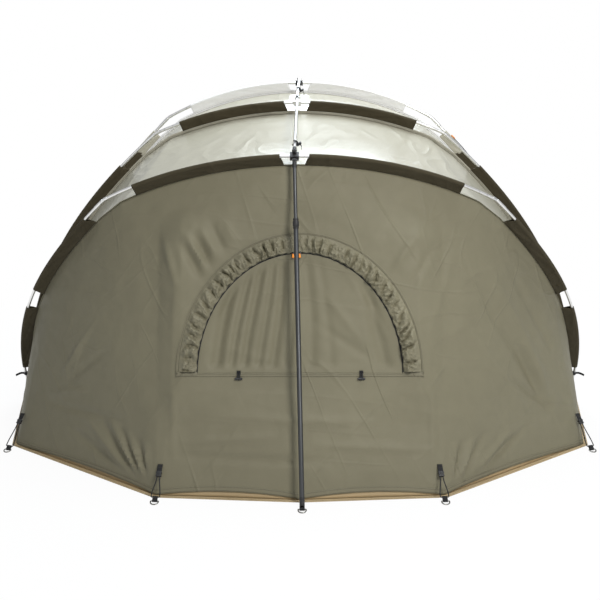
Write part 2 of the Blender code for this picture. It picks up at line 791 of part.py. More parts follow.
def build_folded_panel(name, frame, look, body):
    """The window's cloth in upright columns from the sill to the arch, with a single point at each corner."""
    origin, across, up, out = frame
    columns = moon(WINDOW_SIZE, WINDOW_STEPS)
    rows = len(FOLD_ROW_SHARES)
    front = []
    for a, top in columns[1:-1]:
        for share in FOLD_ROW_SHARES:
            front.append(origin + across * a + up * (top * share) - out * fold_depth(a, top * share, share))
    for a, _ in (columns[0], columns[-1]):
        front.append(origin + across * a)
    back = [point - out * FABRIC for point in front]
    last = len(columns) - 3
    first_corner, last_corner = len(front) - 2, len(front) - 1
    cells = []
    for j in range(rows - 1):
        cells.append((first_corner, j, j + 1))
        cells.append((last * rows + j, last_corner, last * rows + j + 1))
        for k in range(last):
            cells.append((k * rows + j, (k + 1) * rows + j, (k + 1) * rows + j + 1, k * rows + j + 1))
    sill = [first_corner] + [k * rows for k in range(last + 1)] + [last_corner]
    arch_line = [k * rows + rows - 1 for k in reversed(range(last + 1))]
    border = sill + arch_line
    total = len(front)
    faces = list(cells)
    for cell in cells:
        faces.append(tuple(total + place for place in reversed(cell)))
    for k, place in enumerate(border):
        following = border[(k + 1) % len(border)]
        faces.append((place, total + place, total + following, following))
    add_object(name, front + back, faces, look, body)


def band_inner():
    return WINDOW_SIZE[0] - BAND_OVERLAP, WINDOW_SIZE[1] - BAND_OVERLAP


def build_band(frame, body):
    """The storm band: sewn flat along its outer edge, gathered into puckers towards its elastic inner hem."""
    origin, across, up, out = frame
    count = PUCKER_COUNT * PUCKER_STEPS + 1
    inner = moon(band_inner(), count - 1)
    outer = moon([size + BAND_BEYOND for size in WINDOW_SIZE], count - 1)
    points = []
    for k, (low, high) in enumerate(zip(inner, outer)):
        swell = (1 - math.cos(math.tau * k / PUCKER_STEPS)) / 2
        ridge = BAND_THICKNESS + (PUCKER_HEIGHT - BAND_THICKNESS) * swell
        profile = (
            (0.0, 0.0),
            (0.0, BAND_THICKNESS),
            (BAND_HEM_SHARE, BAND_THICKNESS),
            (BAND_RIDGE_SHARE, ridge),
            (1.0, BAND_SEWN_THICKNESS),
            (1.0, 0.0),
        )
        for share, height in profile:
            a = low[0] + (high[0] - low[0]) * share
            b = low[1] + (high[1] - low[1]) * share
            points.append(origin + across * a + up * b + out * (TOUCH_GAP + height))
    sides = len(profile)
    faces = [tuple(range(sides)), tuple((count - 1) * sides + k for k in range(sides))]
    for k in range(count - 1):
        for j in range(sides):
            turn = (j + 1) % sides
            faces.append((k * sides + j, k * sides + turn, (k + 1) * sides + turn, (k + 1) * sides + j))
    add_object("window_storm_band", points, faces, sleeve_olive(), body)


def build_sliders(frame, parent):
    """Each slider turns about the middle of the half-moon, and its puller hangs towards it."""
    sill, across, up, out = frame
    half_width, height = band_inner()
    radius = half_width - ZIP_INSET
    centre = sill + up * (height - half_width - ZIP_INSET)
    for degrees, word in zip(SLIDER_DEG, ("left", "right")):
        angle = math.radians(degrees)
        outward = across * math.sin(angle) + up * math.cos(angle)
        sideways = across * math.cos(angle) - up * math.sin(angle)
        body = Body(f"zip_slider_{word}", centre, parent)
        halves = [size / 2 for size in SLIDER_SIZE]
        middle = centre + outward * radius + out * (BAND_THICKNESS + 2 * TOUCH_GAP + halves[2])
        slider = box(f"zip_slider_{word}", middle, (sideways, outward, out), halves, orange(), body)
        halves = [size / 2 for size in PULLER_SIZE]
        low = middle - outward * (SLIDER_SIZE[1] / 2 + halves[1] - WEBBING)
        join(slider, box(f"zip_puller_{word}", low, (sideways, outward, out), halves))


def build_toggles(frame, parent):
    """A small bar under the sill on each side, hanging on a short loop that it swings on."""
    sill, across, up, out = frame
    for side, word in ((LEFT, "left"), (RIGHT, "right")):
        pivot = sill + across * (side * TOGGLE_SIDE) + out * (TOUCH_GAP + TOGGLE_RADIUS)
        body = Body(f"window_toggle_{word}", pivot, parent)
        low = pivot - up * TOGGLE_DROP
        reach = across * (TOGGLE_LENGTH / 2)
        toggle = rod(f"window_toggle_{word}", low - reach, low + reach, TOGGLE_RADIUS, SMALL_SIDES, black(), body)
        halves = (TOGGLE_LOOP / 2, TOGGLE_DROP / 2, TOGGLE_RADIUS - TOUCH_GAP)
        join(toggle, box(f"window_loop_{word}", pivot - up * (TOGGLE_DROP / 2), (across, up, out), halves))


def build_front(rib, body):
    """The front wall with a door panel that hinges on its sill."""
    wall = Wall(rib, RIGHT, FRONT_MIDDLE_Y, FRONT_CORNER, FRONT_SIDE, FRONT_FLAT_ROWS)
    thing = sheet("front_wall", wall.rows, FABRIC, olive(), body)
    low, high = wall.rows[0][len(wall.rows[0]) // 2], wall.rows[-1][len(wall.rows[0]) // 2]
    sill = wall.on_flat(low.z + (high.z - low.z) * DOOR_SILL_SHARE)
    across = Vector((1.0, 0.0, 0.0))
    frame = (sill, across, wall.up, wall.outward)
    outline = arch(DOOR_RADIUS, DOOR_CENTRE_RISE, ARC_STEPS)
    cut(thing, plate("door_hole", grown(outline, TOUCH_GAP * 2), *frame, -OVERRUN, OVERRUN))
    hinge = Body("door_panel", sill, body)
    plate("door_panel", outline, *frame, -FABRIC, 0.0, roof_olive(), hinge)


def build_roof(name, rear_rib, front_rib, body):
    """The panel between two ribs, ruled from seam to seam."""
    side = FIN_THICKNESS / 2 + ROOF_SEAM_ROOM
    rear_row = [rear_rib.seam(arc, side) for arc in rear_rib.shell_arcs()]
    front_row = [front_rib.seam(arc, -side) for arc in matched(rear_rib, front_rib)]
    middle_row = [(a + b) / 2 for a, b in zip(rear_row, front_row)]
    sheet(name, [rear_row, middle_row, front_row], FABRIC, roof_olive(), body)


def matched(rib, other):
    """The other rib's arcs that stand for this rib's shell stations: crown for crown and leg for leg."""
    found = []
    for arc in rib.shell_arcs():
        side = math.copysign(1.0, arc)
        distance = abs(arc)
        if distance <= rib.crown_length:
            found.append(side * distance * other.crown_length / rib.crown_length)
        else:
            share = (distance - rib.crown_length) / rib.leg_length
            found.append(side * other.leg_arc(share))
    return found


def build_rear_pole(rib, block, root):
    """The prop behind the rear wall: it hinges at its top, telescopes, and stands on its strap."""
    right = Vector((1.0, 0.0, 0.0))
    pin = rib.apex() - rib.ahead * POLE_PIN_BEHIND
    room = BAR_EYE_WIDTH / 2 + RUN_GAP
    toward = POLE_PIN_BEHIND - BLOCK_HALF_DEPTH + BLOCK_WALL / 2
    ears(block, pin, room, -rib.ahead, rib.out, toward, "rear_pole")
    strap_top = FABRIC + TOUCH_GAP + WEBBING
    foot = Vector((POLE_FOOT_X, REAR_MIDDLE_Y - POLE_FOOT_BEHIND, strap_top + TOUCH_GAP))
    direction = (foot - pin).normalized()
    length = (foot - pin).length - LOWER_TUBE_RADIUS * abs(direction.y) / abs(direction.z)
    upper = Body("rear_pole_upper", pin, root)
    reach = UPPER_EXPOSED + UPPER_HIDDEN
    eye = (BAR_EYE_RADIUS, BAR_EYE_WIDTH, BAR_PIN_RADIUS)
    eye_rod("rear_pole_upper", pin, direction, reach, UPPER_TUBE_RADIUS, *eye, graphite(), upper)
    mouth = pin + direction * (UPPER_EXPOSED + LOCK_LENGTH)
    lower = Body("rear_pole_lower", mouth, upper)
    end = pin + direction * length
    tube = rod("rear_pole_lower", mouth, end, LOWER_TUBE_RADIUS, ROUND_SIDES, graphite(), lower)
    start = mouth - direction * OVERRUN
    floor = end - direction * POLE_FLOOR
    bore = UPPER_TUBE_RADIUS + RUN_GAP
    cut(tube, rod("rear_pole_bore", start, floor, bore, ROUND_SIDES))
    low = mouth - direction * TOUCH_GAP
    high = pin + direction * UPPER_EXPOSED
    lock_body = Body("rear_pole_lock", low, lower)
    lock = rod("rear_pole_lock", high, low, LOCK_RADIUS, ROUND_SIDES, black(), lock_body)
    reach = direction * OVERRUN
    cut(lock, rod("rear_pole_lock_bore", high - reach, low + reach, bore, ROUND_SIDES))
    build_foot_strap(root, right)


def ring_outline():
    """The D-ring's centre line in (across, away) from its bar, once round."""
    outline = [(-RING_HALF_BAR, 0.0), (RING_HALF_BAR, 0.0)]
    for k in range(RING_ARC_STEPS + 1):
        angle = math.pi * k / RING_ARC_STEPS
        outline.append((RING_HALF_BAR * math.cos(angle), RING_LEG + RING_HALF_BAR * math.sin(angle)))
    return outline


def build_ring(name, bar, across, heading, parent):
    """A D-ring with its bar through a strap, lying out along heading with its far side on the ground."""
    reach = RING_LEG + RING_HALF_BAR
    slope = math.asin((bar.z - RING_WIRE - TOUCH_GAP) / reach)
    away = heading * math.cos(slope) - Vector((0.0, 0.0, 1.0)) * math.sin(slope)
    path = [bar + across * a + away * b for a, b in ring_outline()]
    points, faces = sweep(path, RING_WIRE, SMALL_SIDES, across.cross(away).normalized(), closed=True)
    add_object(name, points, faces, steel(), Body(name, bar, parent))


def cut_bar_hole(strap, bar, across, radius, name):
    reach = across * (WEB_HALF_WIDTH + OVERRUN)
    cut(strap, rod(name, bar - reach, bar + reach, radius, ROUND_SIDES))


def build_foot_strap(root, right):
    """The webbing under the rear pole's foot, out from the groundsheet to the middle ring."""
    up = Vector((0.0, 0.0, 1.0))
    rear = Vector((0.0, -1.0, 0.0))
    low = FABRIC + TOUCH_GAP
    start = Vector((POLE_FOOT_X, REAR_MIDDLE_Y + FOOT_STRAP_INNER, low + WEBBING / 2))
    bar = Vector((POLE_FOOT_X, REAR_MIDDLE_Y - POLE_FOOT_BEHIND - FOOT_STRAP_OUTER, RING_BAR_HEIGHT))
    length = start.y - bar.y + STRAP_END
    centre = start + rear * (length / 2)
    halves = (WEB_HALF_WIDTH, length / 2, WEBBING / 2)
    strap = box("pole_foot_strap", centre, (right, rear, up), halves, webbing(), root)
    halves = (WEB_HALF_WIDTH, STRAP_END, RING_BAR_HEIGHT - low)
    join(strap, box("pole_foot_loop", bar, (right, rear, up), halves))
    cut_bar_hole(strap, bar, right, RING_WIRE + RUN_GAP, "pole_foot_hole")
    build_ring("ground_ring_middle", bar, right, rear, root)


def build_adjuster(name, top, foot, root):
    """A corner adjuster from its tab on the wall down to its D-ring: tab with lock, cord loop, strap, ring."""
    down = (foot - top).normalized()
    across = down.cross(Vector((0.0, 0.0, 1.0))).normalized()
    out = across.cross(down).normalized()
    axes = (across, down, out)
    length = (foot - top).length
    halves = (WEB_HALF_WIDTH, TAB_LENGTH / 2, WEBBING / 2)
    tab = box(f"adjuster_tab_{name}", top + down * halves[1], axes, halves, black(), root)
    halves = [size / 2 for size in LOCK_SIZE]
    lock = top + down * (TAB_LENGTH + halves[1] - WEBBING)
    join(tab, box(f"adjuster_lock_{name}", lock, axes, halves))
    lock_end = TAB_LENGTH + LOCK_SIZE[1] - WEBBING
    bend = length - STRAP_LENGTH + 2 * STRAP_END
    build_cord(f"adjuster_cord_{name}", top, axes, lock_end + RUN_GAP, bend, root)
    low = length + STRAP_END
    high = length - STRAP_LENGTH + STRAP_END
    halves = (WEB_HALF_WIDTH, (low - high) / 2, STRAP_HALF_DEPTH)
    strap = box(f"ring_strap_{name}", top + down * ((low + high) / 2), axes, halves, webbing(), root)
    cut_bar_hole(strap, foot, across, RING_WIRE + RUN_GAP, f"ring_strap_hole_{name}")
    cut_bar_hole(strap, top + down * bend, across, CORD_RADIUS + RUN_GAP, f"cord_hole_{name}")
    heading = Vector((down.x, down.y, 0.0)).normalized()
    build_ring(f"ground_ring_{name}", foot, across, heading, root)


def build_cord(name, top, axes, start, bend, root):
    """The elastic loop: out of the lock, through the ring strap and back, one unbroken cord."""
    across, down, _ = axes
    half = []
    drop = bend - CORD_TURN - start
    for k in range(CORD_STEPS):
        share = k / CORD_STEPS
        ease = share * share * (3 - 2 * share)
        half.append((CORD_TOP_SIDE + (CORD_BOTTOM_SIDE - CORD_TOP_SIDE) * ease, start + drop * share))
    for k in range(CORD_TURN_STEPS + 1):
        angle = math.pi / 2 * k / CORD_TURN_STEPS
        side = CORD_BOTTOM_SIDE - CORD_TURN * (1 - math.cos(angle))
        half.append((side, bend - CORD_TURN * (1 - math.sin(angle))))
    route = [(-side, along) for side, along in half] + [(side, along) for side, along in reversed(half)]
    path = [top + across * side + down * along for side, along in route]
    data = bpy.data.curves.new(name, "CURVE")
    data.dimensions = "3D"
    data.bevel_depth = CORD_RADIUS
    data.bevel_resolution = 2
    data.use_fill_caps = True
    spline = data.splines.new("POLY")
    spline.points.add(len(path) - 1)
    for place, point in zip(spline.points, path):
        place.co = (*point, 1.0)
    thing = bpy.data.objects.new(name, data)
    bpy.context.scene.collection.objects.link(thing)
    data.materials.append(black())
    root.carry(thing)


def build_adjusters(wall, root):
    """Two at the rear corners and two at the sides, each down the fold line above its corner."""
    for side, word in ((LEFT, "left"), (RIGHT, "right")):
        rear_ring = [at + shift for at, shift in zip(REAR_CORNER, REAR_RING_FROM_CORNER)]
        side_ring = [at + shift for at, shift in zip(REAR_SIDE, SIDE_RING_FROM_CORNER)]
        places = (
            ("rear", CORNER_STEPS, REAR_TAB_HEIGHT, REAR_TAB_SHARE, REAR_TAB_STANDOFF, rear_ring),
            ("side", CORNER_STEPS + SIDE_STEPS, SIDE_TAB_HEIGHT, SIDE_TAB_SHARE, SIDE_TAB_STANDOFF, side_ring),
        )
        for place, column, height, share, standoff, ring in places:
            corner = wall.at_column(column, height)
            before = wall.at_column(column - 1, height)
            top = before + (corner - before) * share
            out = (corner - before).cross(wall.up).normalized()
            top = top + out * (standoff + WEBBING / 2)
            foot = Vector((*ring, RING_BAR_HEIGHT))
            if side == LEFT:
                top.x, foot.x = -top.x, -foot.x
            build_adjuster(f"{place}_{word}", top, foot, root)


def main():
    clear_scene()
    rear = Rib("rear", REAR_TILT_DEG, REAR_REACH, REAR_ELBOW, 0, REAR_BLOCK_U)
    second = Rib("second", SECOND_TILT_DEG, SECOND_REACH, SECOND_ELBOW, 1, SECOND_BLOCK_U)
    third = Rib("third", THIRD_TILT_DEG, THIRD_REACH, THIRD_ELBOW, 2, THIRD_BLOCK_U)
    front = Rib("front", FRONT_TILT_DEG, FRONT_REACH, FRONT_ELBOW, 3, FRONT_BLOCK_U)
    hub_line = (0.0, 0.0, HUB_HEIGHT)
    root = Body("root")
    second_body = Body("second_rib", hub_line, root)
    third_body = Body("third_rib", hub_line, second_body)
    front_body = Body("front_rib", hub_line, third_body)
    ribs = ((rear, root), (second, second_body), (third, third_body), (front, front_body))
    blocks = {}
    for rib, body in ribs:
        build_poles(rib, body)
        build_sleeve(rib, body)
        blocks[rib.name] = build_block(rib, body, rib is not front)
    for (rib, body), (ahead_rib, _) in zip(ribs, ribs[1:]):
        build_bar(rib, ahead_rib, f"crown_bar_{rib.name}", body)
        build_roof(f"roof_{rib.name}_to_{ahead_rib.name}", rib, ahead_rib, body)
    build_groundsheet(root)
    build_hub(LEFT, "left", root)
    build_hub(RIGHT, "right", root)
    wall = build_rear(rear, root)
    build_front(front, front_body)
    build_rear_pole(rear, blocks["rear"], root)
    build_adjusters(wall, root)


main()
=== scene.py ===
"""Looks of the two-person bivvy tent: cloth, poles, fittings and the white studio round them.

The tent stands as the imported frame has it: +Z up, the rear wall with its half-moon window towards -Y.
"""

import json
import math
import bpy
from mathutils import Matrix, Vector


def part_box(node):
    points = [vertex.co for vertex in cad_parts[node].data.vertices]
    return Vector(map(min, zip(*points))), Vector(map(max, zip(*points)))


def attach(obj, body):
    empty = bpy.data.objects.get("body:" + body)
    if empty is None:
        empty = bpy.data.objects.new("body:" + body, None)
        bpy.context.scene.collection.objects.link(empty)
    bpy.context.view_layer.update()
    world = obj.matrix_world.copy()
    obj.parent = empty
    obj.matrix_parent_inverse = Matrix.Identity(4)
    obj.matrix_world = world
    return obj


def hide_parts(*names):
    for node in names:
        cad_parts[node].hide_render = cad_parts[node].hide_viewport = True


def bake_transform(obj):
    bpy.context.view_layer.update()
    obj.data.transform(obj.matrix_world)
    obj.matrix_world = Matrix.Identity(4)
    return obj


bl_info = {
    "name": "Bivvy tent",
    "version": (1, 0, 0),
    "blender": (4, 5, 0),
    "location": "View3D > Sidebar > Tent",
    "description": "Builds a half-dome bivvy tent piece by piece on its packed frame",
    "category": "Object",
}

import bmesh
import bpy
from mathutils import Matrix, Vector, noise

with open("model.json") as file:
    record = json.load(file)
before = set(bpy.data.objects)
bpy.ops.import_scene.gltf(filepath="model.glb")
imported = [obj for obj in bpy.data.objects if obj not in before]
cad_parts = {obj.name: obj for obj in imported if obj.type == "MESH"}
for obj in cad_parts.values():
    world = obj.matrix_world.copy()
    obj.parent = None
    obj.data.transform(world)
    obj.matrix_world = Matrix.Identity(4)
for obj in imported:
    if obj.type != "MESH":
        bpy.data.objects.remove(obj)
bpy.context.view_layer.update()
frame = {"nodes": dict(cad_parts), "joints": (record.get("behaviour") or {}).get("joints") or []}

LEFT = -1
RIGHT = 1
SIDES = ((LEFT, "left"), (RIGHT, "right"))
UP = Vector((0.0, 0.0, 1.0))
ACROSS = Vector((1.0, 0.0, 0.0))
REARWARD = Vector((0.0, -1.0, 0.0))
INSIDE = Vector((0.0, 0.0, 0.4))
LOW_INSIDE = Vector((0.0, 0.0, 0.2))

# The ribs as the frame has them: u runs sideways in a rib's plane, v runs out from the hub line
HUB_HEIGHT = 0.060
POLE_RADIUS = 0.0065
FOOT_SPACING = 0.018
REAR_FOOT_U = 1.380
LEG_LEAVE = 0.45
LEG_ARRIVE = 0.62
ELBOW_BEND_DEG = 16.5
LEG_TRACE_STEPS = 240
NORMAL_SPAN = 0.050
CENTRE_BARE = 0.058
SHELL_DROP = 0.048
ELBOW_CUT = (0.055, 0.100)
SHELL_FOOT_SHARE = 0.945
CROWN_COVERED_SHARE = 0.82
LEG_COVERED_SHARES = ((0.08, 0.46), (0.553, 0.867))
# each rib's tilt in degrees, reach, elbow as (u, v), place among the feet, and its block's place sideways
RIB_SIZES = {
    "rear": (52.0, 1.566, (0.812, 1.328), 0, -0.022),
    "second": (75.0, 1.492, (0.655, 1.350), 1, -0.013),
    "third": (95.5, 1.545, (0.656, 1.375), 2, -0.004),
    "front": (118.0, 1.500, (0.660, 1.345), 3, 0.0),
}

# Hem corners on the ground, and how the walls rise from them
REAR_CORNERS = ((0.0, -1.350), (0.570, -1.300), (1.285, -0.690))
FRONT_CORNERS = ((0.0, 1.290), (0.620, 1.220), (1.280, 0.650))
HUB_SIDE_X = 1.422
HEM_INSET = 0.020
HEM_END = (1.408, 0.045)
HEM_HEIGHT = 0.0033
WALL_END = 2.9999
HEM_REACH = 2.995
LIP_REACH = 2.96
HEM_WIDTH = 0.020
HEM_SHARE = 0.008
HEM_STITCH_SHARES = (0.0035, 0.0135)
CORNER_ARC_SHARE = 0.265
SIDE_ARC_SHARE = 0.66
FLAT_SINK = 0.020
WALL_SEAM_GAP = 0.0026
ROOF_SEAM_GAP = 0.0015
REAR_FLAT_SHARES = (0.22, 0.32, 0.82, 0.91)
FRONT_FLAT_SHARES = (0.0, 0.10, 0.91, 1.0)

# Window and door
SILL_HEIGHT = 0.461
WINDOW = (0.424, 0.497)
BAND_INNER = (0.406, 0.479)
BAND_OUTER = (0.476, 0.549)
DOOR_SILL_SHARE = 0.13
DOOR_RADIUS = 0.470
DOOR_CENTRE_RISE = 0.440
OPENING_ROOM = 0.002
CUTTER_HALF = 0.03
DOOR_ROOM = 0.0005
SILL_SEAM_HALF = 0.486


# Sizes and colours that a user would change

def measure(name, words, value):
    return bpy.props.FloatProperty(name=name, description=words, default=value, unit="LENGTH")


class TentSizes(bpy.types.PropertyGroup):
    cloth: measure("Cloth", "Thickness of the shell cloth", 0.0012)
    wrinkle: measure("Wrinkles", "Depth of the wall's creases", 0.0125)
    fold: measure("Window folds", "Depth of the window's folds", 0.013)
    pucker: measure("Puckers", "Height of the band's gathers", 0.037)
    ripple: measure("Sleeve ripple", "Depth of the sleeves' ripples", 0.0022)
    stitch: measure("Stitch", "Length of one stitch", 0.0036)
    ferrule: measure("Ferrule", "Length of each elbow ferrule", 0.060)
    weave: bpy.props.FloatProperty(
        name="Threads", description="Threads to the metre in the weave", default=900.0
    )


def colour(name, words, value):
    return bpy.props.FloatVectorProperty(
        name=name, description=words, default=value, size=3, min=0.0, max=1.0, subtype="COLOR"
    )


class TentColours(bpy.types.PropertyGroup):
    shell: colour("Shell", "Olive cloth of the walls", (0.232, 0.213, 0.142))
    shell_dark: colour("Shell shade", "Darker patches of the wall cloth", (0.190, 0.174, 0.116))
    roof: colour("Roof", "Cloth of the roof panels", (0.475, 0.450, 0.355))
    sleeve: colour("Sleeve", "Dark cloth of the pole sleeves", (0.076, 0.063, 0.037))
    ground: colour("Groundsheet", "Tan coated sheet", (0.640, 0.485, 0.275))
    metal: colour("Aluminium", "Bare pole tube", (0.800, 0.800, 0.790))
    graphite: colour("Graphite", "Dark tube of the rear pole", (0.085, 0.088, 0.092))
    plastic: colour("Plastic", "Black mouldings", (0.016, 0.016, 0.017))
    steel: colour("Ring steel", "Bright wire of the rings", (0.230, 0.225, 0.205))
    orange: colour("Orange", "Zip pullers and tag", (0.960, 0.300, 0.020))
    thread: colour("Thread", "Seam thread", (0.055, 0.050, 0.036))


def sizes():
    return bpy.context.scene.tent_sizes


def colours():
    return bpy.context.scene.tent_colours


# Ribs and walls as curves and surfaces

def smooth(value):
    value = max(0.0, min(1.0, value))
    return value * value * (3 - 2 * value)


def ramp(value, start, end):
    return max(0.0, min(1.0, (value - start) / (end - start)))


class Rib:
    """One hoop of the frame, measured along its pole from the apex."""

    def __init__(self, name, tilt_deg, reach, elbow, place, block_u):
        self.name = name
        self.body = "base" if name == "rear" else name + "_rib"
        tilt = math.radians(tilt_deg)
        self.block_u = block_u
        self.out = Vector((0.0, -math.cos(tilt), math.sin(tilt)))
        self.ahead = Vector((0.0, math.sin(tilt), math.cos(tilt)))
        self.reach = reach
        self.foot_u = REAR_FOOT_U - FOOT_SPACING * place
        drop = reach - elbow[1]
        self.radius = (elbow[0] ** 2 + drop**2) / (2 * drop)
        half_angle = math.asin(elbow[0] / self.radius)
        self.crown_length = self.radius * half_angle
        slope = half_angle + math.radians(ELBOW_BEND_DEG)
        corners = (
            elbow,
            (elbow[0] + LEG_LEAVE * math.cos(slope), elbow[1] - LEG_LEAVE * math.sin(slope)),
            (self.foot_u, LEG_ARRIVE),
            (self.foot_u, 0.0),
        )
        self.leg = [(self.crown_length, *elbow)]
        for k in range(1, LEG_TRACE_STEPS + 1):
            t = k / LEG_TRACE_STEPS
            weights = ((1 - t) ** 3, 3 * (1 - t) ** 2 * t, 3 * (1 - t) * t**2, t**3)
            u = sum(weight * corner[0] for weight, corner in zip(weights, corners))
            v = sum(weight * corner[1] for weight, corner in zip(weights, corners))
            arc, last_u, last_v = self.leg[-1]
            self.leg.append((arc + math.hypot(u - last_u, v - last_v), u, v))
        self.length = self.leg[-1][0]
        self.leg_length = self.length - self.crown_length

    def at(self, arc):
        side = math.copysign(1.0, arc)
        distance = min(abs(arc), self.length)
        if distance <= self.crown_length:
            angle = distance / self.radius
            return side * self.radius * math.sin(angle), self.reach - self.radius * (1 - math.cos(angle))
        low, high = 0, len(self.leg) - 1
        while high - low > 1:
            middle = (low + high) // 2
            if self.leg[middle][0] <= distance:
                low = middle
            else:
                high = middle
        start, end = self.leg[low], self.leg[high]
        share = (distance - start[0]) / (end[0] - start[0])
        return side * (start[1] + (end[1] - start[1]) * share), start[2] + (end[2] - start[2]) * share

    def inset(self, arc, depth):
        u, v = self.at(arc)
        before = self.at(max(arc - NORMAL_SPAN, -self.length))
        after = self.at(min(arc + NORMAL_SPAN, self.length))
        run = math.hypot(after[0] - before[0], after[1] - before[1])
        return u + depth * (after[1] - before[1]) / run, v - depth * (after[0] - before[0]) / run

    def point(self, arc, depth=0.0, ahead=0.0):
        u, v = self.inset(arc, depth) if depth else self.at(arc)
        away = abs(arc) - self.crown_length
        if depth > 0.012 and -ELBOW_CUT[0] < away < ELBOW_CUT[1]:
            # the cloth runs straight across the elbow's corner while the pole goes round it
            side = math.copysign(1.0, arc)
            low = self.inset(side * (self.crown_length - ELBOW_CUT[0]), depth)
            high = self.inset(side * (self.crown_length + ELBOW_CUT[1]), depth)
            part = (away + ELBOW_CUT[0]) / (ELBOW_CUT[0] + ELBOW_CUT[1])
            pull = smooth(ramp(depth, 0.012, SHELL_DROP))
            u += (low[0] + (high[0] - low[0]) * part - u) * pull
            v += (low[1] + (high[1] - low[1]) * part - v) * pull
        return Vector((u, 0.0, HUB_HEIGHT)) + self.out * v + self.ahead * ahead

    def leg_arc(self, share):
        return self.crown_length + self.leg_length * share

    def foot_arc(self):
        return self.leg_arc(SHELL_FOOT_SHARE)

    def covered(self, side):
        """The stretches of the pole that carry a sleeve, as they show in the photograph."""
        trimmed = 0.020 if side > 0 else 0.0
        stretches = [(CENTRE_BARE + side * self.block_u, self.crown_length * CROWN_COVERED_SHARE - trimmed)]
        for start, end in LEG_COVERED_SHARES:
            stretches.append((self.leg_arc(start), self.leg_arc(end)))
        top = stretches[1][0]
        if self.name == "rear":
            stretches[0] = (stretches[0][0], stretches[0][1] + 0.006)
            stretches[1] = (top + 0.028, stretches[1][1])
        if self.name in ("second", "third"):
            stretches[1] = (top + 0.105, stretches[1][1])
        if self.name == "third":
            stretches.append((top - 0.030, top + 0.103))
        return stretches

    def apex(self):
        left = self.at(self.block_u - CENTRE_BARE)
        right = self.at(self.block_u + CENTRE_BARE)
        share = (self.block_u - left[0]) / (right[0] - left[0])
        v = left[1] + (right[1] - left[1]) * share
        return Vector((self.block_u, 0.0, HUB_HEIGHT)) + self.out * v


RIBS = {name: Rib(name, *values) for name, values in RIB_SIZES.items()}


def hem_rise(q):
    """How far up its own height the hem is drawn between two pegs, as a share."""
    part = abs(q) - int(abs(q))
    return 0.0165 * math.sin(math.pi * part) ** 0.8 if 0 < part < 1 else 0.0


class Wall:
    """A wall between its hem on the ground and one rib's seam, pulled flat round its window or door."""

    def __init__(self, rib, facing, corners, flat_shares):
        self.rib = rib
        self.facing = facing
        self.flat_shares = flat_shares
        self.hem = [self.drawn_in(corner) for corner in corners] + [(HEM_END[0], facing * HEM_END[1])]
        foot = rib.foot_arc()
        self.arcs = [0.0, foot * CORNER_ARC_SHARE, foot * SIDE_ARC_SHARE, foot]
        base = self.ruled(0.0, 0.0)
        top = self.ruled(0.0, 1.0)
        self.up = (top - base).normalized()
        self.out = Vector((0.0, facing * self.up.z, -facing * self.up.y))
        self.flat_base = base - self.out * FLAT_SINK

    def drawn_in(self, corner):
        length = math.hypot(*corner)
        return corner[0] * (1 - HEM_INSET / length), corner[1] * (1 - HEM_INSET / length)

    def ruled(self, q, share):
        """q counts hem corners from the middle: 0 to 3 on the right, below 0 on the left."""
        side = -1 if q < 0 else 1
        q = min(abs(q), WALL_END)
        k = int(q)
        part = q - k
        start, end = self.hem[k], self.hem[k + 1]
        x = start[0] + (end[0] - start[0]) * part
        y = start[1] + (end[1] - start[1]) * part
        low = Vector((x, y, HEM_HEIGHT))
        arc = self.arcs[k] + (self.arcs[k + 1] - self.arcs[k]) * part
        high = self.rib.point(arc, SHELL_DROP, self.facing * WALL_SEAM_GAP)
        point = low + (high - low) * share
        return Vector((side * point.x, point.y, point.z))

    def eased(self, q, share):
        """The ruled surface with its corner creases softened towards the top."""
        spread = (0.03 + 0.18 * min(share, 0.6)) * (1 - ramp(share, 0.80, 0.98)) + 0.0001
        near = self.ruled(q - spread, share) + self.ruled(q + spread, share)
        if abs(q) > 3 - spread:
            return self.ruled(q, share)
        return (near + self.ruled(q, share) * 2) / 4

    def flatten(self, point):
        share = (point.z - self.flat_base.z) / self.up.z
        return Vector((point.x, self.flat_base.y + self.up.y * share, point.z))

    def point(self, q, share):
        start, full, fade, end = self.flat_shares
        weight = ramp(share, start, full) * (1 - ramp(share, fade, end)) * (1 - ramp(abs(q), 5 / 6, 1.0))
        found = self.eased(q, share)
        if weight > 0:
            found = found.lerp(self.flatten(found), weight)
        return found

    def hung(self, q, share):
        """The point this share of the way from the drawn-up hem to the seam."""
        low = hem_rise(q)
        return self.point(q, low + (1 - low) * share)

    def on_flat(self, height):
        return self.flatten(Vector((0.0, 0.0, height)))


REAR = Wall(RIBS["rear"], LEFT, REAR_CORNERS, REAR_FLAT_SHARES)
FRONT = Wall(RIBS["front"], RIGHT, FRONT_CORNERS, FRONT_FLAT_SHARES)


# Mesh helpers

STITCH_WIDTH = 0.0011
EYE_BORE = 0.0028
EYE_OUTER = 0.0085


def as_object(name, shape, look, closed=True):
    """A mesh object at the origin from a bmesh, shaded smooth with sharp corners."""
    if closed:
        bmesh.ops.recalc_face_normals(shape, faces=shape.faces)
    data = bpy.data.meshes.new(name)
    shape.to_mesh(data)
    shape.free()
    thing = bpy.data.objects.new(name, data)
    bpy.context.scene.collection.objects.link(thing)
    data.materials.append(look)
    data.shade_smooth()
    data.set_sharp_from_angle(angle=math.radians(40))
    return thing


def finish_piece(thing, body, replaced=()):
    if replaced:
        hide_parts(*replaced)
    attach(thing, body)
    return thing


def piece_of(shape, name, look, body, replaced=()):
    """Finishes what was built in a bmesh."""
    return finish_piece(as_object(name, shape, look), body, replaced)


def baked(thing):
    """The object with its modifiers applied, so that its place stays in its mesh."""
    bpy.context.view_layer.update()
    graph = bpy.context.evaluated_depsgraph_get()
    data = bpy.data.meshes.new_from_object(
        thing.evaluated_get(graph), preserve_all_data_layers=True, depsgraph=graph
    )
    thing.modifiers.clear()
    thing.data = data
    return thing


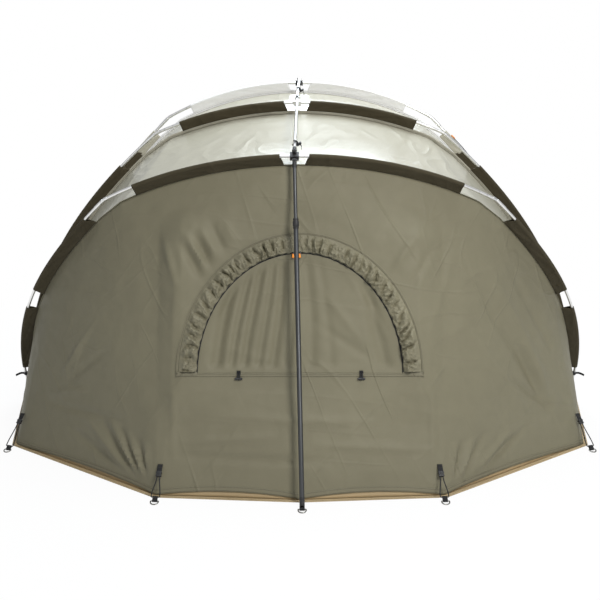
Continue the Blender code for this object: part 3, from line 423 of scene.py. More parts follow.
def cloth(name, columns, rows, size, place, look, relief=None, inside=None):
    """A cloth panel: a grid laid out flat at its cut size for the weave, then each point put in its place.

    inside is a point that its faces turn away from, and relief(s, t, point) how far each point stands out."""
    shape = bmesh.new()
    layer = shape.loops.layers.uv.new("cloth")
    bmesh.ops.create_grid(shape, x_segments=columns, y_segments=rows, size=0.5)
    spots = [(vert.co.x + 0.5, vert.co.y + 0.5) for vert in shape.verts]
    for face in shape.faces:
        for loop in face.loops:
            loop[layer].uv = ((loop.vert.co.x + 0.5) * size[0], (loop.vert.co.y + 0.5) * size[1])
    for vert, spot in zip(shape.verts, spots):
        vert.co = place(*spot)
    shape.normal_update()
    if inside is not None:
        facing = 0.0
        for face in shape.faces:
            facing += (face.calc_center_median() - inside).dot(face.normal) * face.calc_area()
        if facing < 0:
            bmesh.ops.reverse_faces(shape, faces=shape.faces)
            shape.normal_update()
    if relief:
        moves = [vert.normal * relief(*spot, vert.co) for vert, spot in zip(shape.verts, spots)]
        for vert, move in zip(shape.verts, moves):
            vert.co += move
    return as_object(name, shape, look, closed=False)


def thicken(thing, thickness, offset=-1.0):
    modifier = thing.modifiers.new("thickness", "SOLIDIFY")
    modifier.thickness = thickness
    modifier.offset = offset
    modifier.use_even_offset = False


def bevelled(shape, edges, width, segments):
    bmesh.ops.bevel(
        shape, geom=edges, offset=width, segments=segments, profile=0.5, affect="EDGES", material=-1,
        clamp_overlap=True,
    )


def outline_plate(name, outline, origin, across, up, out, low, high, look, bevel=0.0):
    """A flat plate from an outline in (across, up), raised from low to high along out."""
    shape = bmesh.new()
    verts = [shape.verts.new(origin + across * a + up * b + out * low) for a, b in outline]
    face = shape.faces.new(verts)
    grown = bmesh.ops.extrude_face_region(shape, geom=[face])
    moved = [item for item in grown["geom"] if isinstance(item, bmesh.types.BMVert)]
    bmesh.ops.translate(shape, vec=out * (high - low), verts=moved)
    bmesh.ops.recalc_face_normals(shape, faces=shape.faces)
    if bevel:
        edges = [edge for edge in shape.edges if edge.calc_face_angle(0.0) > math.radians(50)]
        bevelled(shape, edges, bevel, 3)
    return as_object(name, shape, look)


def both_sides(half):
    """An outline in (across, up) from its right half, lowest point first, with its left half added."""
    left = [(-a, b) for a, b in half if a]
    return [left[0], *half, *reversed(left[1:])]


def both_ends(half):
    """A lathe outline in (radius, along) from the half that lies before the middle."""
    return [*half, *((radius, -rise) for radius, rise in reversed(half) if rise)]


def block(shape, centre, axes, size, bevel=0.0, segments=2):
    """Adds a bevelled block with its own axes to a bmesh."""
    turn = Matrix((axes[0], axes[1], axes[2])).transposed().to_4x4()
    matrix = Matrix.Translation(centre) @ turn @ Matrix.Diagonal((*size, 1.0))
    made = bmesh.ops.create_cube(shape, size=1.0, matrix=matrix)
    if bevel:
        edges = list({edge for vert in made["verts"] for edge in vert.link_edges})
        bevelled(shape, edges, bevel, segments)


def pipe(name, points, radius, look, cyclic=False, resolution=4, radii=None):
    """A round tube along a line of points, as a mesh with closed ends."""
    data = bpy.data.curves.new(name, "CURVE")
    data.dimensions = "3D"
    data.bevel_depth = radius
    data.bevel_resolution = resolution
    data.use_fill_caps = True
    spline = data.splines.new("POLY")
    spline.points.add(len(points) - 1)
    for k, (place, point) in enumerate(zip(spline.points, points)):
        place.co = (*point, 1.0)
        if radii:
            place.radius = radii[k]
    spline.use_cyclic_u = cyclic
    spline.use_smooth = True
    helper = bpy.data.objects.new(name + "_line", data)
    bpy.context.scene.collection.objects.link(helper)
    bpy.context.view_layer.update()
    graph = bpy.context.evaluated_depsgraph_get()
    mesh = bpy.data.meshes.new_from_object(helper.evaluated_get(graph), depsgraph=graph)
    bpy.data.objects.remove(helper, do_unlink=True)
    bpy.data.curves.remove(data)
    mesh.name = name
    mesh.materials.clear()
    mesh.materials.append(look)
    mesh.shade_smooth()
    mesh.set_sharp_from_angle(angle=math.radians(50))
    thing = bpy.data.objects.new(name, mesh)
    bpy.context.scene.collection.objects.link(thing)
    return thing


def stitches(name, points, normals, body):
    """A row of short raised stitches along a line on the cloth."""
    width = STITCH_WIDTH
    shape = bmesh.new()
    length = sizes().stitch
    pitch = length * 1.55
    travelled = 0.0
    following = pitch / 2
    for k in range(len(points) - 1):
        start, end = points[k], points[k + 1]
        run = (end - start).length
        while following <= travelled + run:
            share = (following - travelled) / run
            centre = start.lerp(end, share)
            along = (end - start).normalized()
            normal = normals[k].lerp(normals[k + 1], share)
            side = along.cross(normal).normalized()
            normal = side.cross(along)
            block(shape, centre, (along, side, normal), (length, width, width * 0.8))
            following += pitch
        travelled += run
    return piece_of(shape, name, thread(), body)


def band(name, points, normals, width, look, body, rise, thickness):
    """A flat tape along a line on the cloth, lifted a little off it."""
    total = sum((b - a).length for a, b in zip(points, points[1:]))
    count = len(points) - 1

    def place(s, t):
        k = min(int(round(s * count)), count)
        before, after = points[max(k - 1, 0)], points[min(k + 1, count)]
        along = (after - before).normalized()
        side = along.cross(normals[k]).normalized()
        return points[k] + side * ((t - 0.5) * width) + normals[k] * rise

    middle = count // 2
    thing = cloth(name, count, 4, (total, width), place, look)
    face = thing.data.polygons[middle * 4]
    if face.normal.dot(normals[middle]) < 0:
        thing.data.flip_normals()
    thicken(thing, thickness, 1.0)
    return finish_piece(thing, body)


# Shader groups that several materials share

def group(name, inputs, outputs):
    """A new shader group: inputs hold their defaults, and each output is a number."""
    tree = bpy.data.node_groups.new(name, "ShaderNodeTree")
    for label, value in inputs:
        socket = tree.interface.new_socket(label, in_out="INPUT", socket_type="NodeSocketFloat")
        socket.default_value = value
    for label in outputs:
        tree.interface.new_socket(label, in_out="OUTPUT", socket_type="NodeSocketFloat")
    return tree, tree.nodes.new("NodeGroupInput"), tree.nodes.new("NodeGroupOutput")


def settle(node, **values):
    """Sets a node's inputs: an underscore stands for the space in an input's name."""
    for label, value in values.items():
        node.inputs[label.replace("_", " ")].default_value = value
    return node


def own_place(tree, output="Object"):
    """The place on the object itself, or on its cloth laid out flat."""
    return tree.nodes.new("ShaderNodeTexCoord").outputs[output]


def maths(tree, operation, first, second=None, third=None, clamp=False):
    node = tree.nodes.new("ShaderNodeMath")
    node.operation = operation
    node.use_clamp = clamp
    for socket, value in zip(node.inputs, (first, second, third)):
        if value is None:
            continue
        if isinstance(value, (int, float)):
            socket.default_value = value
        else:
            tree.links.new(value, socket)
    return node.outputs[0]


def mixed(tree, factor, first, second):
    node = tree.nodes.new("ShaderNodeMix")
    node.data_type = "RGBA"
    for socket, value in zip(
        (node.inputs["Factor"], node.inputs[6], node.inputs[7]), (factor, first, second)
    ):
        if isinstance(value, (int, float)):
            socket.default_value = value
        elif isinstance(value, tuple):
            socket.default_value = (*value[:3], 1.0)
        else:
            tree.links.new(value, socket)
    return node.outputs[2]


def noise_at(tree, vector, scale, detail):
    node = settle(tree.nodes.new("ShaderNodeTexNoise"), Scale=scale, Detail=detail)
    tree.links.new(vector, node.inputs["Vector"])
    return node.outputs["Fac"]


def weave_group():
    """Plain weave: crossing threads that pass over and under each other, with a few thick ones."""
    found = bpy.data.node_groups.get("plain_weave")
    if found:
        return found
    inputs = (("Threads", 900.0), ("Slubs", 0.3))
    tree, given, made = group("plain_weave", inputs, ("Height", "Gap"))
    place = own_place(tree, "UV")
    split = tree.nodes.new("ShaderNodeSeparateXYZ")
    tree.links.new(place, split.inputs[0])
    turns = maths(tree, "MULTIPLY", given.outputs["Threads"], math.pi)
    warp = maths(tree, "SINE", maths(tree, "MULTIPLY", split.outputs["X"], turns))
    weft = maths(tree, "SINE", maths(tree, "MULTIPLY", split.outputs["Y"], turns))
    over = maths(tree, "MULTIPLY", warp, weft)
    threads = maths(tree, "MAXIMUM", maths(tree, "ABSOLUTE", warp), maths(tree, "ABSOLUTE", weft))
    height = maths(tree, "ADD", maths(tree, "MULTIPLY", over, 0.35), threads)
    slub = noise_at(tree, place, 160.0, 2.0)
    slub = maths(tree, "MULTIPLY", slub, given.outputs["Slubs"])
    tree.links.new(maths(tree, "ADD", height, slub), made.inputs["Height"])
    # Gap marks where the threads part, where the cloth materials paint shade
    tree.links.new(maths(tree, "SUBTRACT", 1.0, threads, clamp=True), made.inputs["Gap"])
    return tree


def patches_group():
    """Broad soft patches, finer mottling and fine dust that settles unevenly."""
    found = bpy.data.node_groups.get("soft_patches")
    if found:
        return found
    inputs = (("Broad scale", 1.2), ("Fine scale", 22.0))
    tree, given, made = group("soft_patches", inputs, ("Broad", "Fine"))
    place = own_place(tree)
    for label, source, detail in (("Broad", "Broad scale", 2.0), ("Fine", "Fine scale", 5.0)):
        node = settle(tree.nodes.new("ShaderNodeTexNoise"), Detail=detail)
        tree.links.new(place, node.inputs["Vector"])
        tree.links.new(given.outputs[source], node.inputs["Scale"])
        tree.links.new(node.outputs["Fac"], made.inputs[label])
    return tree


def creases_group():
    """Thin sharp creases that wander across the cloth in two directions, in some places only."""
    found = bpy.data.node_groups.get("thin_creases")
    if found:
        return found
    tree, given, made = group("thin_creases", (("Scale", 8.0), ("Thin", 0.030)), ("Height",))
    place = own_place(tree)
    heights = []
    for lean, stretch, seed in ((24.0, 0.09, 3.0), (-38.0, 0.11, 11.0), (82.0, 0.08, 17.0)):
        turned = tree.nodes.new("ShaderNodeMapping")
        settle(turned, Location=(seed, seed, seed), Rotation=(0.0, math.radians(lean), 0.0))
        tree.links.new(place, turned.inputs["Vector"])
        drawn = settle(tree.nodes.new("ShaderNodeMapping"), Scale=(1.0, 0.5, stretch))
        tree.links.new(turned.outputs[0], drawn.inputs["Vector"])
        lines = settle(tree.nodes.new("ShaderNodeTexNoise"), Detail=0.4)
        tree.links.new(drawn.outputs[0], lines.inputs["Vector"])
        tree.links.new(given.outputs["Scale"], lines.inputs["Scale"])
        off = maths(tree, "ABSOLUTE", maths(tree, "SUBTRACT", lines.outputs["Fac"], 0.5))
        ridge = maths(tree, "SUBTRACT", 1.0, maths(tree, "DIVIDE", off, given.outputs["Thin"]), clamp=True)
        where = maths(
            tree, "MULTIPLY_ADD", noise_at(tree, turned.outputs[0], 3.1, 1.0), 5.0, -2.15, clamp=True
        )
        heights.append(maths(tree, "MULTIPLY", ridge, where))
    first_two = maths(tree, "ADD", heights[0], heights[1])
    total = maths(tree, "ADD", first_two, maths(tree, "MULTIPLY", heights[2], 0.6))
    tree.links.new(total, made.inputs["Height"])
    return tree


def wear_group():
    """Small scratches and handling marks on tube, moulding and wire."""
    found = bpy.data.node_groups.get("handling_wear")
    if found:
        return found
    inputs = (("Scale", 60.0), ("Stretch", 12.0))
    tree, given, made = group("handling_wear", inputs, ("Scratch", "Smudge"))
    place = own_place(tree)
    stretched = tree.nodes.new("ShaderNodeMapping")
    tree.links.new(place, stretched.inputs["Vector"])
    combined = settle(tree.nodes.new("ShaderNodeCombineXYZ"), X=1.0, Y=1.0)
    tree.links.new(given.outputs["Stretch"], combined.inputs["Z"])
    tree.links.new(combined.outputs[0], stretched.inputs["Scale"])
    fine = settle(tree.nodes.new("ShaderNodeTexNoise"), Detail=6.0)
    tree.links.new(stretched.outputs[0], fine.inputs["Vector"])
    tree.links.new(given.outputs["Scale"], fine.inputs["Scale"])
    scratch = maths(tree, "GREATER_THAN", fine.outputs["Fac"], 0.62)
    tree.links.new(scratch, made.inputs["Scratch"])
    tree.links.new(noise_at(tree, place, 9.0, 3.0), made.inputs["Smudge"])
    return tree


# Materials

THREAD_RELIEF = 0.0004
MOTTLE = 0.35
DRAWN_STRETCH = 0.12
SCRATCH_RELIEF = 0.0002


def fresh(name):
    made = bpy.data.materials.new(name)
    made.use_nodes = True
    return made, made.node_tree, made.node_tree.nodes["Principled BSDF"]


def placed(tree, shared, **values):
    node = tree.nodes.new("ShaderNodeGroup")
    node.node_tree = shared
    return settle(node, **values)


def bumped(tree, shader, height, strength, distance):
    """Adds relief before the shader's normal and hands back its node, for a broader relief under it."""
    node = settle(tree.nodes.new("ShaderNodeBump"), Strength=strength, Distance=distance)
    tree.links.new(height, node.inputs["Height"])
    tree.links.new(node.outputs["Normal"], shader.inputs["Normal"])
    return node


def cloth_material(name, light, dark, roughness, threads, specular, sheen=0.0, bump=0.25, coat=0.0,
                   creases=0.0, scale=8.0, thin=0.030):
    """Woven cloth: thread relief, painted shade in the gaps between threads, broad patches and dusty
    mottling.
    """
    found = bpy.data.materials.get(name)
    if found:
        return found
    made, tree, shader = fresh(name)
    weave = placed(tree, weave_group(), Threads=threads)
    patches = placed(tree, patches_group())
    broad = maths(tree, "MULTIPLY_ADD", patches.outputs["Broad"], 2.2, -0.6, clamp=True)
    base = mixed(tree, broad, tuple(dark), tuple(light))
    mottle = maths(tree, "MULTIPLY", patches.outputs["Fine"], MOTTLE)
    base = mixed(tree, mottle, base, tuple(channel * 0.80 for channel in dark))
    # painted shade: the gaps between threads are darkened towards half the dark tone
    gap_shade = maths(tree, "MULTIPLY", weave.outputs["Gap"], 0.35)
    base = mixed(tree, gap_shade, base, tuple(channel * 0.5 for channel in dark))
    tree.links.new(base, shader.inputs["Base Color"])
    rough = maths(tree, "MULTIPLY_ADD", patches.outputs["Fine"], 0.16, roughness - 0.08, clamp=True)
    tree.links.new(rough, shader.inputs["Roughness"])
    settle(shader, Sheen_Weight=sheen, Sheen_Roughness=0.45, Specular_IOR_Level=specular)
    settle(shader, Coat_Weight=coat, Coat_Roughness=0.24)
    threads_bump = bumped(tree, shader, weave.outputs["Height"], bump, THREAD_RELIEF)
    if creases:
        folds = placed(tree, creases_group(), Scale=scale, Thin=thin)
        bumped(tree, threads_bump, folds.outputs["Height"], 1.0, creases)
    return made


def shell_cloth():
    chosen = colours()
    return cloth_material(
        "shell_cloth", chosen.shell, chosen.shell_dark, 0.62, sizes().weave, specular=0.30, creases=0.0019
    )


def roof_cloth():
    chosen = colours()
    dark = [channel * 0.86 for channel in chosen.roof]
    return cloth_material(
        "roof_cloth", chosen.roof, dark, 0.45, sizes().weave, specular=0.5, coat=0.8, bump=0.12,
        creases=0.0040, scale=13.0, thin=0.14,
    )


# Painted glare: a near-white copy of the roof cloth for the third rib's crown sleeve and seam, where strong
# light from above and behind bleaches the cloth
def pale_cloth():
    chosen = colours()
    light = [0.15 * channel + 0.83 for channel in chosen.roof]
    dark = [channel * 0.9 for channel in light]
    return cloth_material(
        "pale_cloth", light, dark, 0.45, sizes().weave, sheen=0.1, specular=0.6, coat=0.6, bump=0.12
    )


def sleeve_cloth():
    chosen = colours()
    dark = [channel * 0.7 for channel in chosen.sleeve]
    return cloth_material(
        "sleeve_cloth", chosen.sleeve, dark, 0.80, sizes().weave, specular=0.18, creases=0.0040, scale=12.0,
        thin=0.12
    )


def band_cloth():
    chosen = colours()
    # Painted highlight: the band is the shell cloth with its light tone raised by 12 %, so the ridges of its
    # gathers read brighter
    light = [channel * 1.12 for channel in chosen.shell]
    return cloth_material(
        "band_cloth", light, chosen.shell_dark, 0.58, sizes().weave, specular=0.4, creases=0.0020, scale=26.0
    )


def ground_cloth():
    chosen = colours()
    dark = [channel * 0.68 for channel in chosen.ground]
    return cloth_material(
        "ground_cloth", chosen.ground, dark, 0.62, sizes().weave * 0.6, specular=0.45, bump=0.3
    )


def web_material():
    """Black webbing: coarse ribs across the tape."""
    chosen = colours()
    light = [channel * 1.7 for channel in chosen.plastic]
    return cloth_material("black_web", light, chosen.plastic, 0.85, 420.0, bump=0.6, specular=0.3)


def metal_material(name, tint, roughness, scale=60.0):
    """Tube and wire: bright metal with faint drawn lines, smudges and small scratches."""
    found = bpy.data.materials.get(name)
    if found:
        return found
    made, tree, shader = fresh(name)
    wear = placed(tree, wear_group(), Scale=scale, Stretch=DRAWN_STRETCH)
    dulled = tuple(channel * 0.62 for channel in tint)
    base = mixed(tree, maths(tree, "MULTIPLY", wear.outputs["Scratch"], 0.45), tuple(tint), dulled)
    tree.links.new(base, shader.inputs["Base Color"])
    rough = maths(tree, "MULTIPLY_ADD", wear.outputs["Smudge"], 0.25, roughness - 0.1, clamp=True)
    tree.links.new(rough, shader.inputs["Roughness"])
    settle(shader, Metallic=1.0)
    bumped(tree, shader, wear.outputs["Scratch"], 0.08, SCRATCH_RELIEF)
    return made


def aluminium():
    return metal_material("bare_tube", colours().metal, 0.30)


def graphite():
    return metal_material("graphite_pole", colours().graphite, 0.46)


def steel():
    return metal_material("ring_wire", colours().steel, 0.2, scale=140.0)


def plastic_material(name, tint, roughness, lift=1.0):
    """Moulded plastic: fine grain, soft smudges and slightly paler scuffs."""
    found = bpy.data.materials.get(name)
    if found:
        return found
    made, tree, shader = fresh(name)
    wear = placed(tree, wear_group(), Scale=220.0, Stretch=1.0)
    scuffed = tuple(min(1.0, channel * 1.5 + 0.02 * lift) for channel in tint)
    base = mixed(tree, maths(tree, "MULTIPLY", wear.outputs["Scratch"], 0.35), tuple(tint), scuffed)
    tree.links.new(base, shader.inputs["Base Color"])
    rough = maths(tree, "MULTIPLY_ADD", wear.outputs["Smudge"], 0.25, roughness - 0.12, clamp=True)
    tree.links.new(rough, shader.inputs["Roughness"])
    place = own_place(tree)
    bumped(tree, shader, noise_at(tree, place, 1800.0, 2.0), 0.15, SCRATCH_RELIEF)
    return made


def plastic():
    return plastic_material("black_moulding", colours().plastic, 0.5)


def orange():
    return plastic_material("orange_moulding", colours().orange, 0.45, 0.0)


def thread():
    return plastic_material("seam_thread", colours().thread, 0.8)


def elastic():
    return cloth_material("elastic_cord", [0.040] * 3, [0.022] * 3, 0.8, 1400.0, bump=0.5, specular=0.3)


# Shapes that several pieces share

def lathe(shape, origin, axis, profile, steps, closed=False):
    """Spins a (radius, along) outline round an axis: an open one starts and ends on the axis."""
    along = axis.normalized()
    side = along.orthogonal().normalized()
    verts = [shape.verts.new(origin + side * radius + along * rise) for radius, rise in profile]
    edges = [shape.edges.new(pair) for pair in zip(verts, verts[1:])]
    if closed:
        edges.append(shape.edges.new((verts[-1], verts[0])))
    bmesh.ops.spin(
        shape, geom=verts + edges, cent=origin, axis=along, angle=math.tau, steps=steps, use_merge=True,
        use_duplicate=False
    )
    bmesh.ops.remove_doubles(shape, verts=shape.verts, dist=0.000001)


def lathed(name, origin, axis, profile, look, steps=32, closed=False):
    shape = bmesh.new()
    lathe(shape, origin, axis, profile, steps, closed)
    return as_object(name, shape, look)


def round_line(centre, first, second, radius, turns):
    """Points round a centre, at angles in degrees from the first way towards the second."""
    found = []
    for turn in turns:
        angle = math.radians(turn)
        found.append(centre + first * (radius * math.cos(angle)) + second * (radius * math.sin(angle)))
    return found


def cut_away(thing, outline, origin, wall):
    """Cuts an outline out of a wall's cloth and bakes it."""
    cutter = outline_plate(
        "cutter", outline, origin, ACROSS, wall.up, wall.out, -CUTTER_HALF, CUTTER_HALF, shell_cloth()
    )
    modifier = thing.modifiers.new("hole", "BOOLEAN")
    modifier.operation = "DIFFERENCE"
    modifier.solver = "EXACT"
    modifier.object = cutter
    baked(thing)
    bpy.data.objects.remove(cutter, do_unlink=True)


def dress(node, look, bevel):
    """Gives a CAD node its finish, and softens its edges without moving a point of its mesh."""
    thing = frame["nodes"][node]
    thing.data.materials.clear()
    thing.data.materials.append(look)
    weld = thing.modifiers.new("weld", "WELD")
    weld.merge_threshold = 0.00002
    soften = thing.modifiers.new("soften", "BEVEL")
    soften.width = bevel
    soften.segments = 3
    soften.limit_method = "ANGLE"
    soften.angle_limit = math.radians(40)
    soften.harden_normals = True


def half_ellipse(size, steps):
    """Points (across, rise) of the half-moon from its right corner over the top to the left one."""
    found = []
    for k in range(steps + 1):
        angle = math.pi * k / steps
        found.append((size[0] * math.cos(angle), size[1] * math.sin(angle)))
    return found


def joint_of(child):
    for joint in frame["joints"]:
        if joint["child"] == child:
            return joint
    raise RuntimeError("no joint moves " + child)


def joint_place(child):
    return Vector(joint_of(child)["pos_m"])


class Sill:
    """The window's own frame on the rear wall: a runs across, b runs up from the sill."""

    origin = REAR.on_flat(SILL_HEIGHT)

    @classmethod
    def point(cls, a, b, out=0.0):
        return cls.origin + ACROSS * a + REAR.up * b + REAR.out * out


# Creases of the rear wall: start and end as (x, z), half width, and depth, above 0 where it stands out
REAR_CREASES = (
    ((-0.54, 0.95), (-0.494, 0.80), 0.014, 0.9),
    ((-0.494, 0.80), (-0.497, 0.16), 0.016, 0.7),
    ((-0.477, 0.96), (-0.375, 0.80), 0.017, -1.2),
    ((-0.452, 0.98), (-0.350, 0.82), 0.014, 1.1),
    ((-0.418, 0.98), (-0.345, 0.85), 0.015, -1.1),
    ((-0.390, 1.00), (-0.318, 0.88), 0.013, 1.0),
    ((-0.351, 1.02), (-0.290, 0.91), 0.015, -1.0),
    ((-0.300, 1.03), (-0.250, 0.95), 0.014, 0.6),
    ((-1.02, 0.36), (-0.86, 0.60), 0.012, 0.7),
    ((-1.00, 0.33), (-0.80, 0.50), 0.014, -0.6),
    ((-1.07, 0.26), (-0.90, 0.32), 0.012, 0.8),
    ((-1.09, 0.22), (-0.72, 0.24), 0.016, -0.6),
    ((-0.583, 0.02), (-0.606, 0.17), 0.012, 0.9),
    ((-0.590, 0.02), (-0.643, 0.18), 0.012, -0.9),
    ((-0.598, 0.02), (-0.682, 0.19), 0.012, 1.1),
    ((-0.606, 0.02), (-0.722, 0.20), 0.012, -1.0),
    ((-0.615, 0.02), (-0.762, 0.22), 0.013, 1.1),
    ((-0.640, 0.03), (-0.810, 0.21), 0.014, -1.0),
    ((-0.670, 0.04), (-0.870, 0.19), 0.016, 0.9),
    ((-0.720, 0.05), (-0.980, 0.15), 0.018, -0.8),
    ((-0.46, 0.20), (-0.10, 0.23), 0.014, 0.6),
    ((-0.48, 0.15), (0.12, 0.14), 0.015, -0.7),
    ((-0.30, 0.30), (0.28, 0.28), 0.014, 0.5),
    ((0.05, 0.20), (0.50, 0.17), 0.014, 0.6),
    ((0.52, 0.12), (0.52, 0.40), 0.016, 0.6),
    ((0.79, 0.81), (1.12, 0.22), 0.024, 1.2),
    ((0.73, 0.76), (1.08, 0.20), 0.022, -1.1),
    ((0.66, 0.62), (1.00, 0.18), 0.020, 0.8),
    ((0.90, 0.80), (1.16, 0.36), 0.018, -0.8),
    ((0.588, 0.02), (0.612, 0.17), 0.012, 1.0),
    ((0.606, 0.02), (0.646, 0.17), 0.012, -1.1),
    ((0.620, 0.02), (0.690, 0.17), 0.013, 1.2),
    ((0.635, 0.02), (0.745, 0.18), 0.014, -1.2),
    ((0.690, 0.04), (0.870, 0.16), 0.014, 1.1),
    ((0.750, 0.05), (0.945, 0.15), 0.015, -1.0),
    ((0.920, 0.50), (1.045, 0.26), 0.013, -1.1),
    ((0.950, 0.50), (1.075, 0.26), 0.013, 1.0),
    ((0.880, 0.37), (1.080, 0.21), 0.013, -0.9),
    ((0.46, 0.98), (0.36, 0.84), 0.016, 0.8),
    ((0.52, 0.92), (0.42, 0.76), 0.016, -0.7),
    ((0.62, 0.90), (0.52, 0.62), 0.018, 0.5),
)


def crease_at(x, z, creases):
    """The summed height of the creases at this place, from -1 to 1 for one crease."""
    total = 0.0
    for (x0, z0), (x1, z1), width, depth in creases:
        run_x, run_z = x1 - x0, z1 - z0
        share = ((x - x0) * run_x + (z - z0) * run_z) / (run_x * run_x + run_z * run_z)
        held = max(0.0, min(1.0, share))
        away = math.hypot(x - x0 - run_x * held, z - z0 - run_z * held) / width
        if away < 3:
            total += depth * math.exp(-away * away) * (0.35 + 0.65 * math.sin(math.pi * held))
    return total


def cloth_noise(point, scale, seed=0.0):
    return noise.noise(point * scale + Vector((seed, seed * 0.7, -seed)))


def sewn_fade(point, places, near, far):
    """0 at any of these places, rising to 1 away from them."""
    nearest = min((point - place).length for place in places)
    return smooth(ramp(nearest, near, far))


# Stage: each light has its name, place, target, size, power and tint

LIGHTS = (
    ("key", (1.9, -4.9, 4.1), (0.1, -0.8, 0.5), (1.3, 1.3), 203.0, (1.0, 0.985, 0.95)),
    ("fill", (-3.8, -4.2, 2.4), (-0.4, -0.8, 0.5), (2.6, 2.2), 10.0, (0.97, 0.98, 1.0)),
    ("top", (0.5, 0.4, 5.0), (0.1, 0.0, 1.0), (3.0, 2.8), 230.0, (0.87, 0.94, 1.0)),
    ("behind", (0.4, 4.6, 3.5), (0.1, 0.2, 1.0), (2.4, 2.0), 172.0, (0.84, 0.93, 1.0)),
)
CAMERA_PLACE = (0.0, -5.0, 1.5)
CAMERA_DOWN_DEG = 11.02
CAMERA_SENSOR = 36.0
CAMERA_LENS = 60.72
FLOOR_HALF = 40.0
FLOOR_DROP = 0.0006


def light(name, place, target, size, power, tint):
    data = bpy.data.lights.new(name, "AREA")
    data.shape = "RECTANGLE"
    data.size, data.size_y = size
    data.energy = power
    data.color = tint
    thing = bpy.data.objects.new(name, data)
    bpy.context.scene.collection.objects.link(thing)
    thing.location = place
    thing.rotation_euler = (Vector(target) - Vector(place)).to_track_quat("-Z", "Y").to_euler()


def white_where_seen(tree, lit, seen, gloss=1.0):
    """Mixes what lights the tent with the white that camera, gloss and glass see."""
    path = tree.nodes.new("ShaderNodeLightPath")
    glossy = maths(tree, "MULTIPLY", path.outputs["Is Glossy Ray"], gloss)
    seen_by = maths(tree, "MAXIMUM", path.outputs["Is Camera Ray"], glossy)
    seen_by = maths(tree, "MAXIMUM", seen_by, path.outputs["Is Transmission Ray"])
    mix = tree.nodes.new("ShaderNodeMixShader")
    tree.links.new(maths(tree, "MULTIPLY", seen_by, seen, clamp=True), mix.inputs["Fac"])
    tree.links.new(lit.outputs[0], mix.inputs[1])
    return mix


class TENT_OT_stage(bpy.types.Operator):
    """White floor and surround, soft studio lights and the photograph's camera"""

    bl_idname = "tent.stage"
    bl_label = "Stage"

    def execute(self, context):
        self.floor()
        self.surround(context)
        for values in LIGHTS:
            light(*values)
        camera = bpy.data.cameras.new("photo_camera")
        camera.sensor_width = CAMERA_SENSOR
        camera.lens = CAMERA_LENS
        thing = bpy.data.objects.new("photo_camera", camera)
        context.scene.collection.objects.link(thing)
        thing.location = CAMERA_PLACE
        thing.rotation_euler = (math.radians(90 - CAMERA_DOWN_DEG), 0.0, 0.0)
        context.scene.camera = thing
        context.scene.view_settings.view_transform = "Standard"
        return {"FINISHED"}

    def floor(self):
        made, tree, shader = fresh("white_floor")
        settle(shader, Base_Color=(0.86, 0.86, 0.86, 1.0), Roughness=0.9, Specular_IOR_Level=0.1)
        glow = tree.nodes.new("ShaderNodeEmission")
        place = own_place(tree)
        length = tree.nodes.new("ShaderNodeVectorMath")
        length.operation = "LENGTH"
        tree.links.new(place, length.inputs[0])
        far = maths(tree, "MULTIPLY_ADD", length.outputs["Value"], 0.03, 0.90, clamp=True)
        mix = white_where_seen(tree, shader, far)
        tree.links.new(glow.outputs[0], mix.inputs[2])
        tree.links.new(mix.outputs[0], tree.nodes["Material Output"].inputs["Surface"])
        shape = bmesh.new()
        bmesh.ops.create_grid(shape, x_segments=8, y_segments=8, size=FLOOR_HALF)
        bmesh.ops.translate(shape, vec=UP * -FLOOR_DROP, verts=shape.verts)
        floor = as_object("floor", shape, made, closed=False)

    def surround(self, context):
        world = bpy.data.worlds.new("white_surround")
        world.use_nodes = True
        context.scene.world = world
        tree = world.node_tree
        base = tree.nodes["Background"]
        settle(base, Color=(0.93, 0.96, 1.0, 1.0), Strength=0.21)
        white = settle(tree.nodes.new("ShaderNodeBackground"), Color=(1.0, 1.0, 1.0, 1.0), Strength=1.0)
        mix = white_where_seen(tree, base, 1.0, 0.35)
        tree.links.new(white.outputs[0], mix.inputs[2])
        tree.links.new(mix.outputs[0], tree.nodes["World Output"].inputs["Surface"])


# Groundsheet

GROUND_OUTLINE = REAR_CORNERS + ((HUB_SIDE_X, 0.0),) + tuple(reversed(FRONT_CORNERS))


def along_corners(corners, share):
    """The point this share of the way along a line of corners."""
    runs = [math.dist(a, b) for a, b in zip(corners, corners[1:])]
    left = share * sum(runs)
    for (start, end), run in zip(zip(corners, corners[1:]), runs):
        if left <= run:
            part = left / run
            return start[0] + (end[0] - start[0]) * part, start[1] + (end[1] - start[1]) * part
        left -= run
    return corners[-1]


def ground_edge(corners, share):
    """A point of the rear or front edge from the left corner to the right one."""
    side = 1 if share > 0.5 else -1
    x, y = along_corners(corners, abs(share - 0.5) * 2)
    return side * x, y


def ground_place(s, t):
    low = ground_edge(REAR_CORNERS, s)
    high = ground_edge(FRONT_CORNERS, s)
    side = along_corners((REAR_CORNERS[2], (HUB_SIDE_X, 0.0), FRONT_CORNERS[2]), t)
    straight = REAR_CORNERS[2][0] + (FRONT_CORNERS[2][0] - REAR_CORNERS[2][0]) * t
    bulge = (side[0] - straight) * (2 * s - 1)
    x = low[0] + (high[0] - low[0]) * t + bulge
    y = low[1] + (high[1] - low[1]) * t
    rim = min(s, 1 - s, t, 1 - t)
    lift = 0.0016 * (1 + cloth_noise(Vector((x, y, 0.0)), 7.0)) * smooth(ramp(rim, 0.0, 0.02))
    return Vector((x, y, 0.0012 + lift * 0.25))


